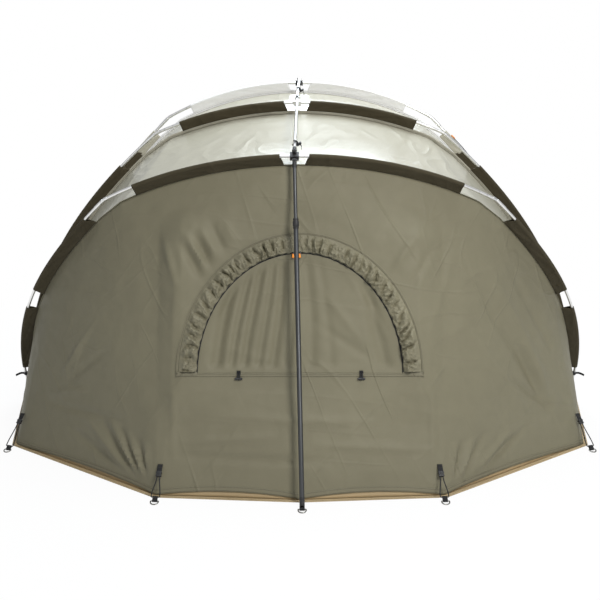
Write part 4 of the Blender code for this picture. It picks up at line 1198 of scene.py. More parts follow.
class TENT_OT_groundsheet(bpy.types.Operator):
    """Tan coated groundsheet with a folded, stitched binding round its edge"""

    bl_idname = "tent.groundsheet"
    bl_label = "Groundsheet"

    def execute(self, context):
        thing = cloth("groundsheet_cloth", 120, 110, (2.84, 2.64), ground_place, ground_cloth(), inside=-UP)
        thicken(thing, 0.0011)
        finish_piece(thing, "base", ("groundsheet",))
        pieces = [self.binding(), self.lip("rear", REAR), self.lip("front", FRONT)]
        return {"FINISHED"}

    def lip(self, word, wall):
        """The sheet's edge, turned up a little behind the wall's hem."""
        def place(s, t):
            q = LIP_REACH * (2 * s - 1)
            part = abs(q) - int(abs(q))
            point = wall.ruled(q, (0.008 + 0.026 * math.sin(math.pi * part) ** 0.8) * t)
            inward = Vector((-point.x, -point.y, 0.0)).normalized()
            return point + inward * (0.0045 + 0.0010 * cloth_noise(point, 9.0, 7.0))

        name = "groundsheet_lip_" + word
        thing = cloth(name, 300, 5, (4.4, 0.045), place, ground_cloth(), None, LOW_INSIDE)
        thicken(thing, 0.0010)
        return finish_piece(thing, "base")

    def binding(self):
        half = [along_corners(GROUND_OUTLINE, k / 180) for k in range(181)]
        outline = half + [(-x, y) for x, y in reversed(half[1:-1])]
        line = [Vector((x, y, 0.0022)) for x, y in outline]
        line.append(line[0].copy())
        inset = [point * (1 - 0.0052 / point.length) for point in line]
        inset = [Vector((point.x, point.y, 0.0018)) for point in inset]
        normals = [UP] * len(inset)
        binding = band(
            "groundsheet_binding", inset, normals, 0.010, ground_cloth(), "base", 0.0,
            0.0010
        )
        stitches("groundsheet_stitches", [p + UP * 0.0010 for p in inset], normals, "base")
        return binding


# Rear wall

def wall_line(wall, share, steps, lift=0.0):
    """Points and normals along the wall at this share of its height, from its left end to its right end."""
    points, normals = [], []
    for k in range(steps + 1):
        q = -HEM_REACH + 2 * HEM_REACH * k / steps
        here = wall.hung(q, share)
        along = wall.hung(min(q + 0.02, WALL_END), share) - wall.hung(max(q - 0.02, -WALL_END), share)
        rise = wall.hung(q, min(share + 0.01, 1.0)) - wall.hung(q, max(share - 0.01, 0.0))
        normal = along.cross(rise).normalized()
        if normal.dot(here - INSIDE) < 0:
            normal = -normal
        points.append(here + normal * lift)
        normals.append(normal)
    return points, normals


ADJUSTERS = ("rear_left", "rear_right", "side_left", "side_right")


def rear_relief(s, t, point):
    """How far the rear wall stands out here: creases, soft billows and fine wrinkles."""
    deep = sizes().wrinkle
    creased = crease_at(point.x, point.z, REAR_CREASES) * deep
    billow = cloth_noise(point, 2.6, 3.0) * deep * 0.5
    fine = cloth_noise(Vector((point.x * 1.4, point.y, point.z)), 9.0, 11.0) * deep * 0.28
    slanted = Vector((point.x + point.z * 0.6, 0.0, point.z - point.x * 0.6))
    finest = cloth_noise(slanted, 26.0, 5.0) * deep * 0.10
    total = creased + billow + fine + finest
    a, b = point.x, (point.z - SILL_HEIGHT) / REAR.up.z
    ring = math.hypot(a / BAND_OUTER[0], max(b, -0.04) / BAND_OUTER[1])
    calm = max(smooth(ramp(ring, 1.01, 1.16)), smooth(ramp(-b, 0.05, 0.10)))
    rim = smooth(ramp(min(t, 1 - t), 0.012, 0.07)) * smooth(ramp(min(s, 1 - s), 0.0, 0.02))
    return total * calm * rim * sewn_fade(point, TABS, 0.035, 0.10)


TABS = [sum(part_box("adjuster_tab_" + name), Vector()) / 2 for name in ADJUSTERS]


class TENT_OT_rear_wall(bpy.types.Operator):
    """Rear wall with its creases, the window's opening, the hem and the seams"""

    bl_idname = "tent.rear_wall"
    bl_label = "Rear wall"

    def execute(self, context):
        thing = cloth(
            "rear_wall_cloth", 420, 130, (4.5, 1.45), lambda s, t: REAR.hung(-3 + 6 * s, t), shell_cloth(),
            rear_relief, INSIDE,
        )
        thicken(thing, sizes().cloth)
        opening = half_ellipse((WINDOW[0] + OPENING_ROOM, WINDOW[1] + OPENING_ROOM), 96)
        cut_away(thing, opening, Sill.origin, REAR)
        finish_piece(thing, "base", ("rear_wall",))
        pieces = [self.hem(), self.window_seam(), self.sill_seam()]
        return {"FINISHED"}

    def hem(self):
        points, normals = wall_line(REAR, HEM_SHARE, 360)
        piece = band(
            "rear_hem", points, normals, HEM_WIDTH, shell_cloth(), "base", 0.0002, 0.0010
        )
        for share, word in zip(HEM_STITCH_SHARES, ("low", "high")):
            points, normals = wall_line(REAR, share, 360, 0.0013)
            stitches("rear_hem_stitches_" + word, points, normals, "base")
        return piece

    def window_seam(self):
        outline = half_ellipse((BAND_OUTER[0] + 0.006, BAND_OUTER[1] + 0.006), 150)
        points = [Sill.point(a, b) for a, b in outline]
        normals = [REAR.out] * len(points)
        piece = band(
            "window_seam", points, normals, 0.009, shell_cloth(), "base", 0.0001, 0.0007
        )
        line = [point + REAR.out * 0.0009 for point in points]
        stitches("window_seam_stitches", line, normals, "base")
        return piece

    def sill_seam(self):
        count = 120
        points = [Sill.point(SILL_SEAM_HALF * (2 * k / count - 1), -0.008) for k in range(count + 1)]
        normals = [REAR.out] * len(points)
        piece = band(
            "sill_seam", points, normals, 0.012, shell_cloth(), "base", 0.0001, 0.0008
        )
        for shift, word in ((-0.004, "low"), (0.004, "high")):
            line = [point + REAR.up * shift + REAR.out * 0.0010 for point in points]
            stitches("sill_stitches_" + word, line, normals, "base")
        return piece


# Window panel with its zip

def teeth_along(name, line, out, size, body):
    """The teeth of a zip: one small block from each point of its line to the next."""
    shape = bmesh.new()
    for start, end in zip(line, line[1:]):
        along = (end - start).normalized()
        block(shape, (start + end) / 2, (along, along.cross(out), out), size)
    piece_of(shape, name, plastic(), body)


WINDOW_FOLDS = (
    (-0.318, 0.030, 1.1), (-0.255, 0.020, 0.75), (-0.205, 0.021, 0.85), (-0.150, 0.018, 0.65),
    (-0.098, 0.020, 0.75), (-0.045, 0.016, 0.45), (0.035, 0.030, 0.60), (0.110, 0.024, 0.30),
    (0.335, 0.034, 0.80),
)
WINDOW_CREASES = (
    ((0.08, 0.78), (0.26, 0.56), 0.016, 0.6),
    ((0.05, 0.66), (0.30, 0.50), 0.018, -0.7),
    ((0.18, 0.85), (0.34, 0.60), 0.015, 0.5),
    ((-0.30, 0.56), (-0.06, 0.49), 0.016, 0.4),
)


def window_relief(_s, _t, point):
    a, b = point.x, (point.z - SILL_HEIGHT) / REAR.up.z
    edge = 1 - math.hypot(a / WINDOW[0], b / WINDOW[1])
    ease = smooth(ramp(edge, 0.045, 0.13)) * smooth(ramp(b, 0.006, 0.045))
    total = 0.25 * cloth_noise(point, 5.0, 2.0) + 0.08 * cloth_noise(point, 21.0, 4.0)
    for centre, width, depth in WINDOW_FOLDS:
        lean = centre * (1 - 0.55 * (b - 0.05)) + 0.012 * math.sin(7.0 * b + 9.0 * centre)
        away = (a - lean) / (0.80 * width)
        total -= 1.35 * depth * math.exp(-away * away)
    total += 0.5 * crease_at(point.x, point.z, WINDOW_CREASES)
    return (total - 0.2) * sizes().fold * ease


def window_place(s, t):
    angle = math.radians(88.6) * (2 * s - 1)
    return Sill.point(WINDOW[0] * math.sin(angle), WINDOW[1] * math.cos(angle) * t)


class TENT_OT_window(bpy.types.Operator):
    """Half-moon window panel with its folds, and its half of the zip"""

    bl_idname = "tent.window"
    bl_label = "Window panel"

    def execute(self, context):
        thing = cloth(
            "window_cloth", 200, 110, (0.85, 0.50), window_place, shell_cloth(), window_relief, INSIDE
        )
        thicken(thing, sizes().cloth)
        finish_piece(thing, "window_panel", ("window_panel",))
        tape = self.zip_tape()
        self.zip_teeth()
        return {"FINISHED"}

    def zip_tape(self):
        size = (BAND_INNER[0] + 0.0008, BAND_INNER[1] + 0.0008)
        points = [Sill.point(a, b) for a, b in half_ellipse(size, 150)]
        normals = [REAR.out] * len(points)
        return band(
            "window_zip_tape", points, normals, 0.013, web_material(), "window_panel", 0.0,
            0.0009
        )

    def zip_teeth(self):
        size = (BAND_INNER[0] + 0.0032, BAND_INNER[1] + 0.0032)
        line = [Sill.point(a, b, 0.0014) for a, b in half_ellipse(size, 520)]
        teeth_along("window_zip_teeth", line, REAR.out, (0.0014, 0.0042, 0.0012), "window_panel")


# Storm band

GATHERS = 35
BAND_LIFT = 0.0130


def gather_height(s, t):
    """The gathers: round tops with sharp slanting valleys between them, from 0 to 1."""
    wander = noise.noise(Vector((s * 13.0, t * 0.6, 4.0))) * 0.8
    wander += noise.noise(Vector((s * 47.0, t * 1.4, 9.0))) * 0.35
    slant = 1.5 * noise.noise(Vector((s * 7.0, 0.3, 8.0))) - 0.25
    phase = GATHERS * s + wander + slant * (t - 0.4)
    wave = abs(math.sin(math.pi * phase))
    ridge = 0.45 * wave**0.5 + 0.55 * wave**1.3
    second = abs(math.sin(math.pi * (1.73 * GATHERS * s - 2.2 * slant * t + 2.0 * wander)))
    tall = 0.75 + 0.6 * noise.noise(Vector((s * 21.0, 2.0, 7.0)))
    small = noise.noise(Vector((s * 160.0, t * 7.0, 1.0))) * 0.16
    near_hem = 1 - ramp(t, 0.15, 0.45)
    return max(0.0, min(1.2, (0.74 * ridge + 0.26 * second * (0.5 + near_hem)) * tall + small))


def band_frame(s):
    """The storm band's inner and outer point, as (across, rise), at this share of its run."""
    angle = math.pi / 2 + math.pi * 0.994 * (s - 0.5)
    bunch = 0.0014 * math.sin(math.tau * GATHERS * s + 3.0 * noise.noise(Vector((s * 17.0, 0.5, 4.0))))
    inner = ((BAND_INNER[0] + bunch) * math.cos(angle), (BAND_INNER[1] + bunch) * math.sin(angle))
    outer = (BAND_OUTER[0] * math.cos(angle), BAND_OUTER[1] * math.sin(angle))
    return inner, outer


def band_lift(s):
    """The band's inner edge stands off the zip where a slider comes to rest at the end of its run."""
    away = abs(s - 0.5)
    return BAND_LIFT * smooth(ramp(away, 0.418, 0.432)) * (1 - smooth(ramp(away, 0.462, 0.480)))


def band_place(s, t):
    inner, outer = band_frame(s)
    a = inner[0] + (outer[0] - inner[0]) * t
    b = inner[1] + (outer[1] - inner[1]) * t
    roll = 0.0022 + 0.0006 * math.sin(math.pi * min(1.0, t / 0.12))
    rise = 0.46 + 0.54 * smooth(ramp(t, 0.02, 0.26))
    calm = 1 - 0.55 * math.exp(-((s - 0.5) / 0.035) ** 2)
    fall = (1 - smooth(ramp(t, 0.66, 1.0)) * 0.92) * calm
    height = roll * (1 - smooth(ramp(t, 0.75, 1.0)) * 0.65)
    height += sizes().pucker * gather_height(s, t) * rise * fall
    return Sill.point(a, b, 0.0004 + height + band_lift(s) * (1 - smooth(ramp(t, 0.22, 0.50))))


class TENT_OT_storm_band(bpy.types.Operator):
    """Gathered storm band over the window's zip, with its elastic hem"""

    bl_idname = "tent.storm_band"
    bl_label = "Storm band"

    def execute(self, context):
        thing = cloth("storm_band_cloth", 1100, 30, (1.9, 0.09), band_place, band_cloth(), None, INSIDE)
        thicken(thing, 0.0007)
        finish_piece(thing, "base", ("window_storm_band",))
        hem = self.hem()
        self.ends()
        return {"FINISHED"}

    def hem(self):
        points = []
        for k in range(421):
            inner = band_frame(k / 420)[0]
            points.append(Sill.point(inner[0], inner[1], 0.0018 + band_lift(k / 420)))
        hem = pipe("storm_band_hem", points, 0.0014, band_cloth(), resolution=3)
        return finish_piece(hem, "base")

    def ends(self):
        for side, word in SIDES:
            shape = bmesh.new()
            centre = Sill.point(side * (BAND_INNER[0] + BAND_OUTER[0]) / 2, -0.003, 0.0016)
            width = BAND_OUTER[0] - BAND_INNER[0] + 0.008
            block(shape, centre, (ACROSS, REAR.up, REAR.out), (width, 0.016, 0.0022), 0.0009, 3)
            piece_of(shape, "storm_band_end_" + word, band_cloth(), "base")


# Zip sliders and toggles

SLIDER_DEG = {"left": -4.0, "right": -0.2}


class TENT_OT_sliders(bpy.types.Operator):
    """Two zip sliders with black bodies and orange pullers, and the toggles under the window"""

    bl_idname = "tent.sliders"
    bl_label = "Zip sliders and toggles"

    def execute(self, context):
        for word, degrees in SLIDER_DEG.items():
            self.slider(word, math.radians(degrees))
        for side, word in SIDES:
            self.toggle(side, word)
        return {"FINISHED"}

    def slider(self, word, angle):
        radius = BAND_INNER[0] - 0.001
        centre = Sill.origin + REAR.up * (BAND_INNER[1] - BAND_INNER[0] - 0.001)
        outward = ACROSS * math.sin(angle) + REAR.up * math.cos(angle)
        sideways = ACROSS * math.cos(angle) - REAR.up * math.sin(angle)
        out = REAR.out
        middle = centre + outward * radius + out * 0.0061
        outline = both_sides(
            ((0.0052, -0.0055), (0.0060, -0.001), (0.0056, 0.0055), (0.002, 0.006), (0.0, 0.0045))
        )
        name = "zip_slider_body_" + word
        body = outline_plate(
            name, outline, middle, sideways, outward, out, -0.0021, 0.0008, plastic(), 0.0006
        )
        finish_piece(body, "zip_slider_" + word, ("zip_slider_" + word,))
        heights = ((0.0035, 0.0004), (0.0032, 0.0020), (0.0015, 0.0027), (-0.0015, 0.0027), (-0.0036, 0.0020),
                   (-0.0040, 0.0004))
        arch = [middle + outward * rise + out * high for rise, high in heights]
        bridge = pipe("zip_bridge_" + word, arch, 0.0008, plastic())
        finish_piece(bridge, "zip_slider_" + word)
        low = middle - outward * 0.0125
        frame_outline = both_sides(((0.0052, -0.0095), (0.0056, -0.006), (0.0042, 0.007), (0.0022, 0.0095)))
        puller = outline_plate(
            "zip_puller_frame_" + word, frame_outline, low, sideways, outward, out, -0.0009, 0.0011,
            plastic(), 0.0005
        )
        finish_piece(puller, "zip_slider_" + word)
        inset = [(a * 0.80, b * 0.86) for a, b in frame_outline]
        tab = outline_plate(
            "zip_puller_" + word, inset, low, sideways, outward, out, -0.0013, 0.0020, orange(), 0.0006
        )
        finish_piece(tab, "zip_slider_" + word)

    def toggle(self, side, word):
        pivot = Sill.point(side * 0.240, 0.0, 0.0048)
        low = pivot - REAR.up * 0.022 + REAR.out * 0.0020
        half = 0.0150
        profile = both_ends(((0.0, -half), (0.0030, -half), (0.0043, -half + 0.0012), (0.0046, -0.007),
                             (0.0042, -0.0038), (0.0040, 0.0)))
        bar = lathed("window_toggle_bar_" + word, low, ACROSS, profile, plastic())
        finish_piece(bar, "window_toggle_" + word, ("window_toggle_" + word,))
        loop = []
        for a, b in ((-0.0036, 0.0), (-0.0038, -0.010), (-0.0036, -0.018), (-0.0032, -0.0215), (0.0, -0.0268),
                     (0.0032, -0.0215), (0.0036, -0.018), (0.0038, -0.010), (0.0036, 0.0)):
            loop.append(pivot + ACROSS * a + REAR.up * b + REAR.out * (0.0002 if abs(b) < 0.015 else 0.0020))
        thing = pipe("window_toggle_loop_" + word, loop, 0.0030, elastic())
        finish_piece(thing, "window_toggle_" + word)
        shape = bmesh.new()
        block(
            shape, pivot + REAR.up * 0.004 - REAR.out * 0.0026, (ACROSS, REAR.up, REAR.out),
            (0.015, 0.012, 0.0030), 0.0008
        )
        piece_of(shape, "window_toggle_anchor_" + word, web_material(), "base")


# Roof panels

def matched(rib, other, arc):
    side = math.copysign(1.0, arc)
    distance = abs(arc)
    if distance <= rib.crown_length:
        return side * distance * other.crown_length / rib.crown_length
    return side * other.leg_arc((distance - rib.crown_length) / rib.leg_length)


def roof_point(rear, front, s, t):
    arc = (2 * s - 1) * rear.foot_arc()
    low = rear.point(arc, SHELL_DROP, ROOF_SEAM_GAP)
    high = front.point(matched(rear, front, arc), SHELL_DROP, -ROOF_SEAM_GAP)
    return low.lerp(high, t)


def roof_relief(rear):
    """Slack between the seams, with fine ripples that run from rib to rib."""
    def relief(s, t, _point):
        held = math.sin(math.pi * t)
        leg = smooth(ramp(abs(2 * s - 1), 0.35, 0.9))
        sag = -0.010 * held * (1 - 0.5 * leg)
        around = (2 * s - 1) * rear.foot_arc()
        ripple = noise.noise(Vector((around * 9.0, t * 1.3, rear.reach * 7))) * 0.004
        broad = noise.noise(Vector((around * 2.2, t * 2.0, rear.reach * 3))) * 0.005
        return sag + (ripple * (0.4 + leg) + broad) * held
    return relief


ROOF_PANELS = (
    ("roof_rear_to_second", "rear", "second"),
    ("roof_second_to_third", "second", "third"),
    ("roof_third_to_front", "third", "front"),
)
ROOF_WIDTH = 0.62


class TENT_OT_roof(bpy.types.Operator):
    """Three coated roof panels that join the ribs and sag between them"""

    bl_idname = "tent.roof"
    bl_label = "Roof panels"

    def execute(self, context):
        for name, low, high in ROOF_PANELS:
            self.panel(name, RIBS[low], RIBS[high])
        return {"FINISHED"}

    def panel(self, name, rear, front):
        length = 2 * rear.foot_arc()
        thing = cloth(
            name + "_cloth", 300, 34, (length, ROOF_WIDTH), lambda s, t: roof_point(rear, front, s, t),
            roof_cloth(), roof_relief(rear), INSIDE,
        )
        thicken(thing, sizes().cloth)
        baked(thing)
        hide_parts(name)
        half = rear.out.angle(front.out) / 2
        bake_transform(thing)


# Front wall and door

DOOR_BASE = FRONT.ruled(0.0, 0.0).lerp(FRONT.ruled(0.0, 1.0), DOOR_SILL_SHARE).z


def door_outline(grow, steps):
    radius = DOOR_RADIUS + grow
    found = [(radius, 0.0)]
    for k in range(steps + 1):
        angle = math.pi * k / steps
        found.append((radius * math.cos(angle), DOOR_CENTRE_RISE + radius * math.sin(angle)))
    found.append((-radius, 0.0))
    return found


def door_point(a, b, out=0.0):
    return FRONT.on_flat(DOOR_BASE) + ACROSS * a + FRONT.up * b + FRONT.out * out


def door_edge(point):
    """How far inside the door's outline this point is; below 0 outside it."""
    a, b = abs(point.x), (point.z - DOOR_BASE) / FRONT.up.z
    if b < DOOR_CENTRE_RISE:
        return min(DOOR_RADIUS - a, b)
    return DOOR_RADIUS - math.hypot(a, b - DOOR_CENTRE_RISE)


def front_relief(s, t, point):
    deep = sizes().wrinkle
    total = deep * (0.5 * cloth_noise(point, 2.4, 8.0) + 0.28 * cloth_noise(point, 9.0, 1.0))
    calm = smooth(ramp(-door_edge(point), 0.02, 0.10))
    return total * calm * smooth(ramp(min(t, 1 - t), 0.012, 0.07)) * smooth(ramp(min(s, 1 - s), 0.0, 0.02))


def door_place(s, t):
    radius = DOOR_RADIUS - DOOR_ROOM
    a = (2 * s - 1) * radius
    inside = max(0.0, radius**2 - a * a)
    top = DOOR_CENTRE_RISE + math.sqrt(inside)
    return door_point(a, t * top)


def door_relief(_s, _t, point):
    ease = smooth(ramp(door_edge(point), 0.01, 0.09))
    return -ease * sizes().wrinkle * (
        0.8 + 0.7 * cloth_noise(point, 4.0, 6.0) + 0.3 * cloth_noise(point, 14.0, 2.0)
    )


class TENT_OT_front_wall(bpy.types.Operator):
    """Front wall and its zipped door, plain because the photograph doesn't show them"""

    bl_idname = "tent.front_wall"
    bl_label = "Front wall and door"

    def execute(self, context):
        thing = cloth(
            "front_wall_cloth", 400, 110, (4.4, 1.45), lambda s, t: FRONT.hung(-3 + 6 * s, t), shell_cloth(),
            front_relief, INSIDE,
        )
        thicken(thing, sizes().cloth)
        cut_away(thing, door_outline(0.001, 64), FRONT.on_flat(DOOR_BASE), FRONT)
        finish_piece(thing, "front_rib", ("front_wall",))
        hem = self.hem()
        self.door()
        return {"FINISHED"}

    def hem(self):
        points, normals = wall_line(FRONT, HEM_SHARE, 320)
        piece = band(
            "front_hem", points, normals, HEM_WIDTH, shell_cloth(), "front_rib", 0.0002, 0.0010
        )
        points, normals = wall_line(FRONT, HEM_STITCH_SHARES[1], 320, 0.0013)
        stitches("front_hem_stitches", points, normals, "front_rib")
        return piece

    def door(self):
        thing = cloth("door_cloth", 110, 110, (0.94, 0.91), door_place, shell_cloth(), door_relief, INSIDE)
        thicken(thing, sizes().cloth)
        finish_piece(thing, "door_panel", ("door_panel",))
        line = [door_point(a, b) for a, b in self.fine_outline(0.0105)]
        normals = [FRONT.out] * len(line)
        tape = band(
            "door_zip_tape", line, normals, 0.018, web_material(), "front_rib", 0.0002,
            0.0010
        )
        line = [door_point(a, b, 0.0016) for a, b in self.fine_outline(0.0035, 900)]
        teeth_along("door_zip_teeth", line, FRONT.out, (0.0016, 0.0046, 0.0014), "front_rib")

    def fine_outline(self, grow, count=320):
        corners = door_outline(grow, 96)
        return [along_corners(corners, k / count) for k in range(count + 1)]


# Ribs

HUB_PIN_ROOM = 0.0043
EYE_RADIUS = 0.011
EYE_HALF = 0.005
EYE_EDGE = 0.0008


def smooth_line(corners, count):
    """A smooth line through these corners, in count equal steps of its parameter."""
    ends = [corners[0] * 2 - corners[1]] + list(corners) + [corners[-1] * 2 - corners[-2]]
    found = []
    for k in range(count + 1):
        place = k / count * (len(corners) - 1)
        i = min(int(place), len(corners) - 2)
        t = place - i
        a, b, c, d = ends[i:i + 4]
        square = a * 2 - b * 5 + c * 4 - d
        cube = b * 3 - a - c * 3 + d
        found.append((b * 2 + (c - a) * t + square * t**2 + cube * t**3) / 2)
    return found


def eye_profile(inner, outer, half):
    return both_ends(((inner, -half), (outer - EYE_EDGE, -half), (outer, -half + EYE_EDGE)))


def eye_and_collar(name, body, pin, along, start, collar):
    """A moulded eye round a cross pin, and the collar that joins it to its tube."""
    profile = eye_profile(EYE_BORE, EYE_OUTER, EYE_HALF)
    eye = lathed(name + "_eye", pin, ACROSS, profile, plastic(), closed=True)
    finish_piece(eye, body)
    cap = lathed(name + "_collar", pin + along * start, along, collar, plastic(), closed=True)
    finish_piece(cap, body)


class TENT_OT_ribs(bpy.types.Operator):
    """Four aluminium ribs: crown and legs in one smooth line, elbow ferrules, foot tips and eyes"""

    bl_idname = "tent.ribs"
    bl_label = "Ribs"

    def execute(self, context):
        for rib in RIBS.values():
            self.pole(rib)
            for side, word in SIDES:
                self.ferrule(rib, side, word)
                self.foot(rib, side, word)
        return {"FINISHED"}

    def pole(self, rib):
        end = rib.length - 0.020
        points = [rib.point(-end + 2 * end * k / 300) for k in range(301)]
        thing = pipe(rib.name + "_pole", points, POLE_RADIUS, aluminium(), resolution=5)
        nodes = [rib.name + "_crown", rib.name + "_leg_left", rib.name + "_leg_right"]
        finish_piece(thing, rib.body, nodes)

    def ferrule(self, rib, side, word):
        length = sizes().ferrule
        points = [rib.point(side * (rib.crown_length + 0.004 + length * k / 16)) for k in range(17)]
        radii = [0.90, 0.97] + [1.0] * 13 + [0.97, 0.90]
        thing = pipe(f"{rib.name}_ferrule_{word}", points, 0.0078, aluminium(), resolution=5, radii=radii)
        finish_piece(thing, rib.body)
        points = [rib.point(side * (rib.crown_length - 0.003 - 0.016 * k / 6)) for k in range(7)]
        thing = pipe(f"{rib.name}_elbow_cap_{word}", points, 0.0074, aluminium(), resolution=5)
        finish_piece(thing, rib.body)

    def foot(self, rib, side, word):
        foot = Vector((side * rib.foot_u, 0.0, HUB_HEIGHT))
        profile = eye_profile(HUB_PIN_ROOM, EYE_RADIUS, EYE_HALF)
        eye = lathed(f"{rib.name}_eye_{word}", foot, ACROSS, profile, plastic(), closed=True)
        finish_piece(eye, rib.body)
        points = [foot + rib.out * (EYE_RADIUS - 0.0015 + 0.046 * k / 6) for k in range(7)]
        radii = [0.98, 1.0, 1.0, 1.0, 1.0, 0.96, 0.88]
        tip = pipe(f"{rib.name}_foot_tip_{word}", points, 0.0080, plastic(), resolution=5, radii=radii)
        finish_piece(tip, rib.body)


# Sleeves

SLEEVE_RADIUS = 0.0082
SLEEVE_WRAP_DEG = 118.0
FLANK_SHARE = 0.36
WRAP_SHARE = 0.14
SLEEVE_GIRTH = 0.140
SLEEVE_THICKNESS = 0.0009
SLEEVE_SLANTS = ((-0.015, 0.0), (-0.018, -0.016), (-0.014, 0.0), (0.0, 0.0))
SLEEVE_DEPTHS = {"rear": 0.0455, "second": 0.0370, "third": 0.0360, "front": 0.0455}


def sleeve_section(t, deep):
    """(depth, ahead) round the sleeve: up one flank from the seam, over the pole and down the other flank."""
    side = 1 if t < 0.5 else -1
    t = t if t < 0.5 else 1 - t
    turn = math.radians(SLEEVE_WRAP_DEG)
    if t > FLANK_SHARE:
        angle = turn * (0.5 - t) / WRAP_SHARE
        return -SLEEVE_RADIUS * math.cos(angle), side * SLEEVE_RADIUS * math.sin(angle)
    share = t / FLANK_SHARE
    high = (-SLEEVE_RADIUS * math.cos(turn), SLEEVE_RADIUS * math.sin(turn))
    low = (deep, 0.0013)
    return low[0] + (high[0] - low[0]) * share, side * (low[1] + (high[1] - low[1]) * share**1.2)


class TENT_OT_sleeves(bpy.types.Operator):
    """Pole sleeves: dark cloth from the shell's seam over the pole, with bare stretches between"""

    bl_idname = "tent.sleeves"
    bl_label = "Pole sleeves"

    def execute(self, context):
        for rib in RIBS.values():
            replaced = [rib.name + "_sleeve"]
            for side, word in SIDES:
                for k, ends in enumerate(rib.covered(side)):
                    self.stretch(rib, side, word, k, ends, replaced)
                    replaced = []
            self.seam(rib)
        return {"FINISHED"}

    def stretch(self, rib, side, word, k, ends, replaced):
        """One piece of the sleeve, between two places along the pole: the first one is next to the apex."""
        start, end = ends
        label = f"{rib.name}_sleeve_{word}_{k + 1}"
        ripple = sizes().ripple
        seed = len(label) + rib.reach * 10 + side * 3 + start
        deep = SLEEVE_DEPTHS[rib.name]
        slants = SLEEVE_SLANTS[k]
        if rib.name == "rear" and k == 0:
            slants = (slants[0], -0.012)

        def place(s, t):
            depth, ahead = sleeve_section(t, deep)
            share = max(0.0, min(1.0, depth / deep))
            low = start + slants[0] * share
            high = end - slants[1] * share
            arc = low + (high - low) * s
            flank = math.sin(math.pi * min(1.0, max(0.0, depth / deep)))
            wave = noise.noise(Vector((arc * 16.0 + depth * 55.0, seed, ahead * 60.0)))
            small = noise.noise(Vector((arc * 52.0 - depth * 90.0, seed, 2.0))) * 0.35
            return rib.point(side * arc, depth, ahead + (wave + small) * ripple * flank)

        columns = max(24, int((end - start) / 0.006))
        # painted light on the third rib's sleeves: the crown sleeve gets near-white glare cloth and the short
        # sleeve below the elbow gets the lighter roof cloth, where strong light from above and behind
        # bleaches the dark sleeve cloth
        look = sleeve_cloth()
        if rib.name == "third" and k in (0, 3):
            look = roof_cloth() if k else pale_cloth()
        thing = cloth(label, columns, 40, (end - start, SLEEVE_GIRTH), place, look)
        centre = rib.point(side * (start + end) / 2, 0.02)
        ring = [face for face in thing.data.polygons if (face.center - centre).length < 0.07]
        if sum((face.center - centre).dot(face.normal) for face in ring) < 0:
            thing.data.flip_normals()
        thicken(thing, SLEEVE_THICKNESS, 1.0)
        finish_piece(thing, rib.body, replaced)

    def seam(self, rib):
        name = rib.name + "_seam"
        count = 420
        foot = rib.foot_arc()
        arcs = [-foot + 2 * foot * k / count for k in range(count + 1)]
        top = SLEEVE_DEPTHS[rib.name] - 0.0020
        width = SHELL_DROP + 0.0015 - top
        points = [rib.point(arc, top + width / 2) for arc in arcs]
        normals = [-rib.ahead] * len(points)
        # the third rib's seam takes the near-white cloth of painted glare
        look = {"second": roof_cloth, "third": pale_cloth}.get(rib.name, shell_cloth)()
        piece = band(name, points, normals, width, look, rib.body, -0.0008, 0.0016)
        line = [point - rib.ahead * 0.0009 for point in points]
        stitches(name + "_stitches", line, normals, rib.body)


# Crown bars, blocks and hubs

CLIP_SHARES = {"crown_bar_rear": 0.13, "crown_bar_second": 0.40, "crown_bar_third": 0.45}
BAR_HEADINGS = (("crown_bar_rear", "second"), ("crown_bar_second", "third"), ("crown_bar_third", "front"))


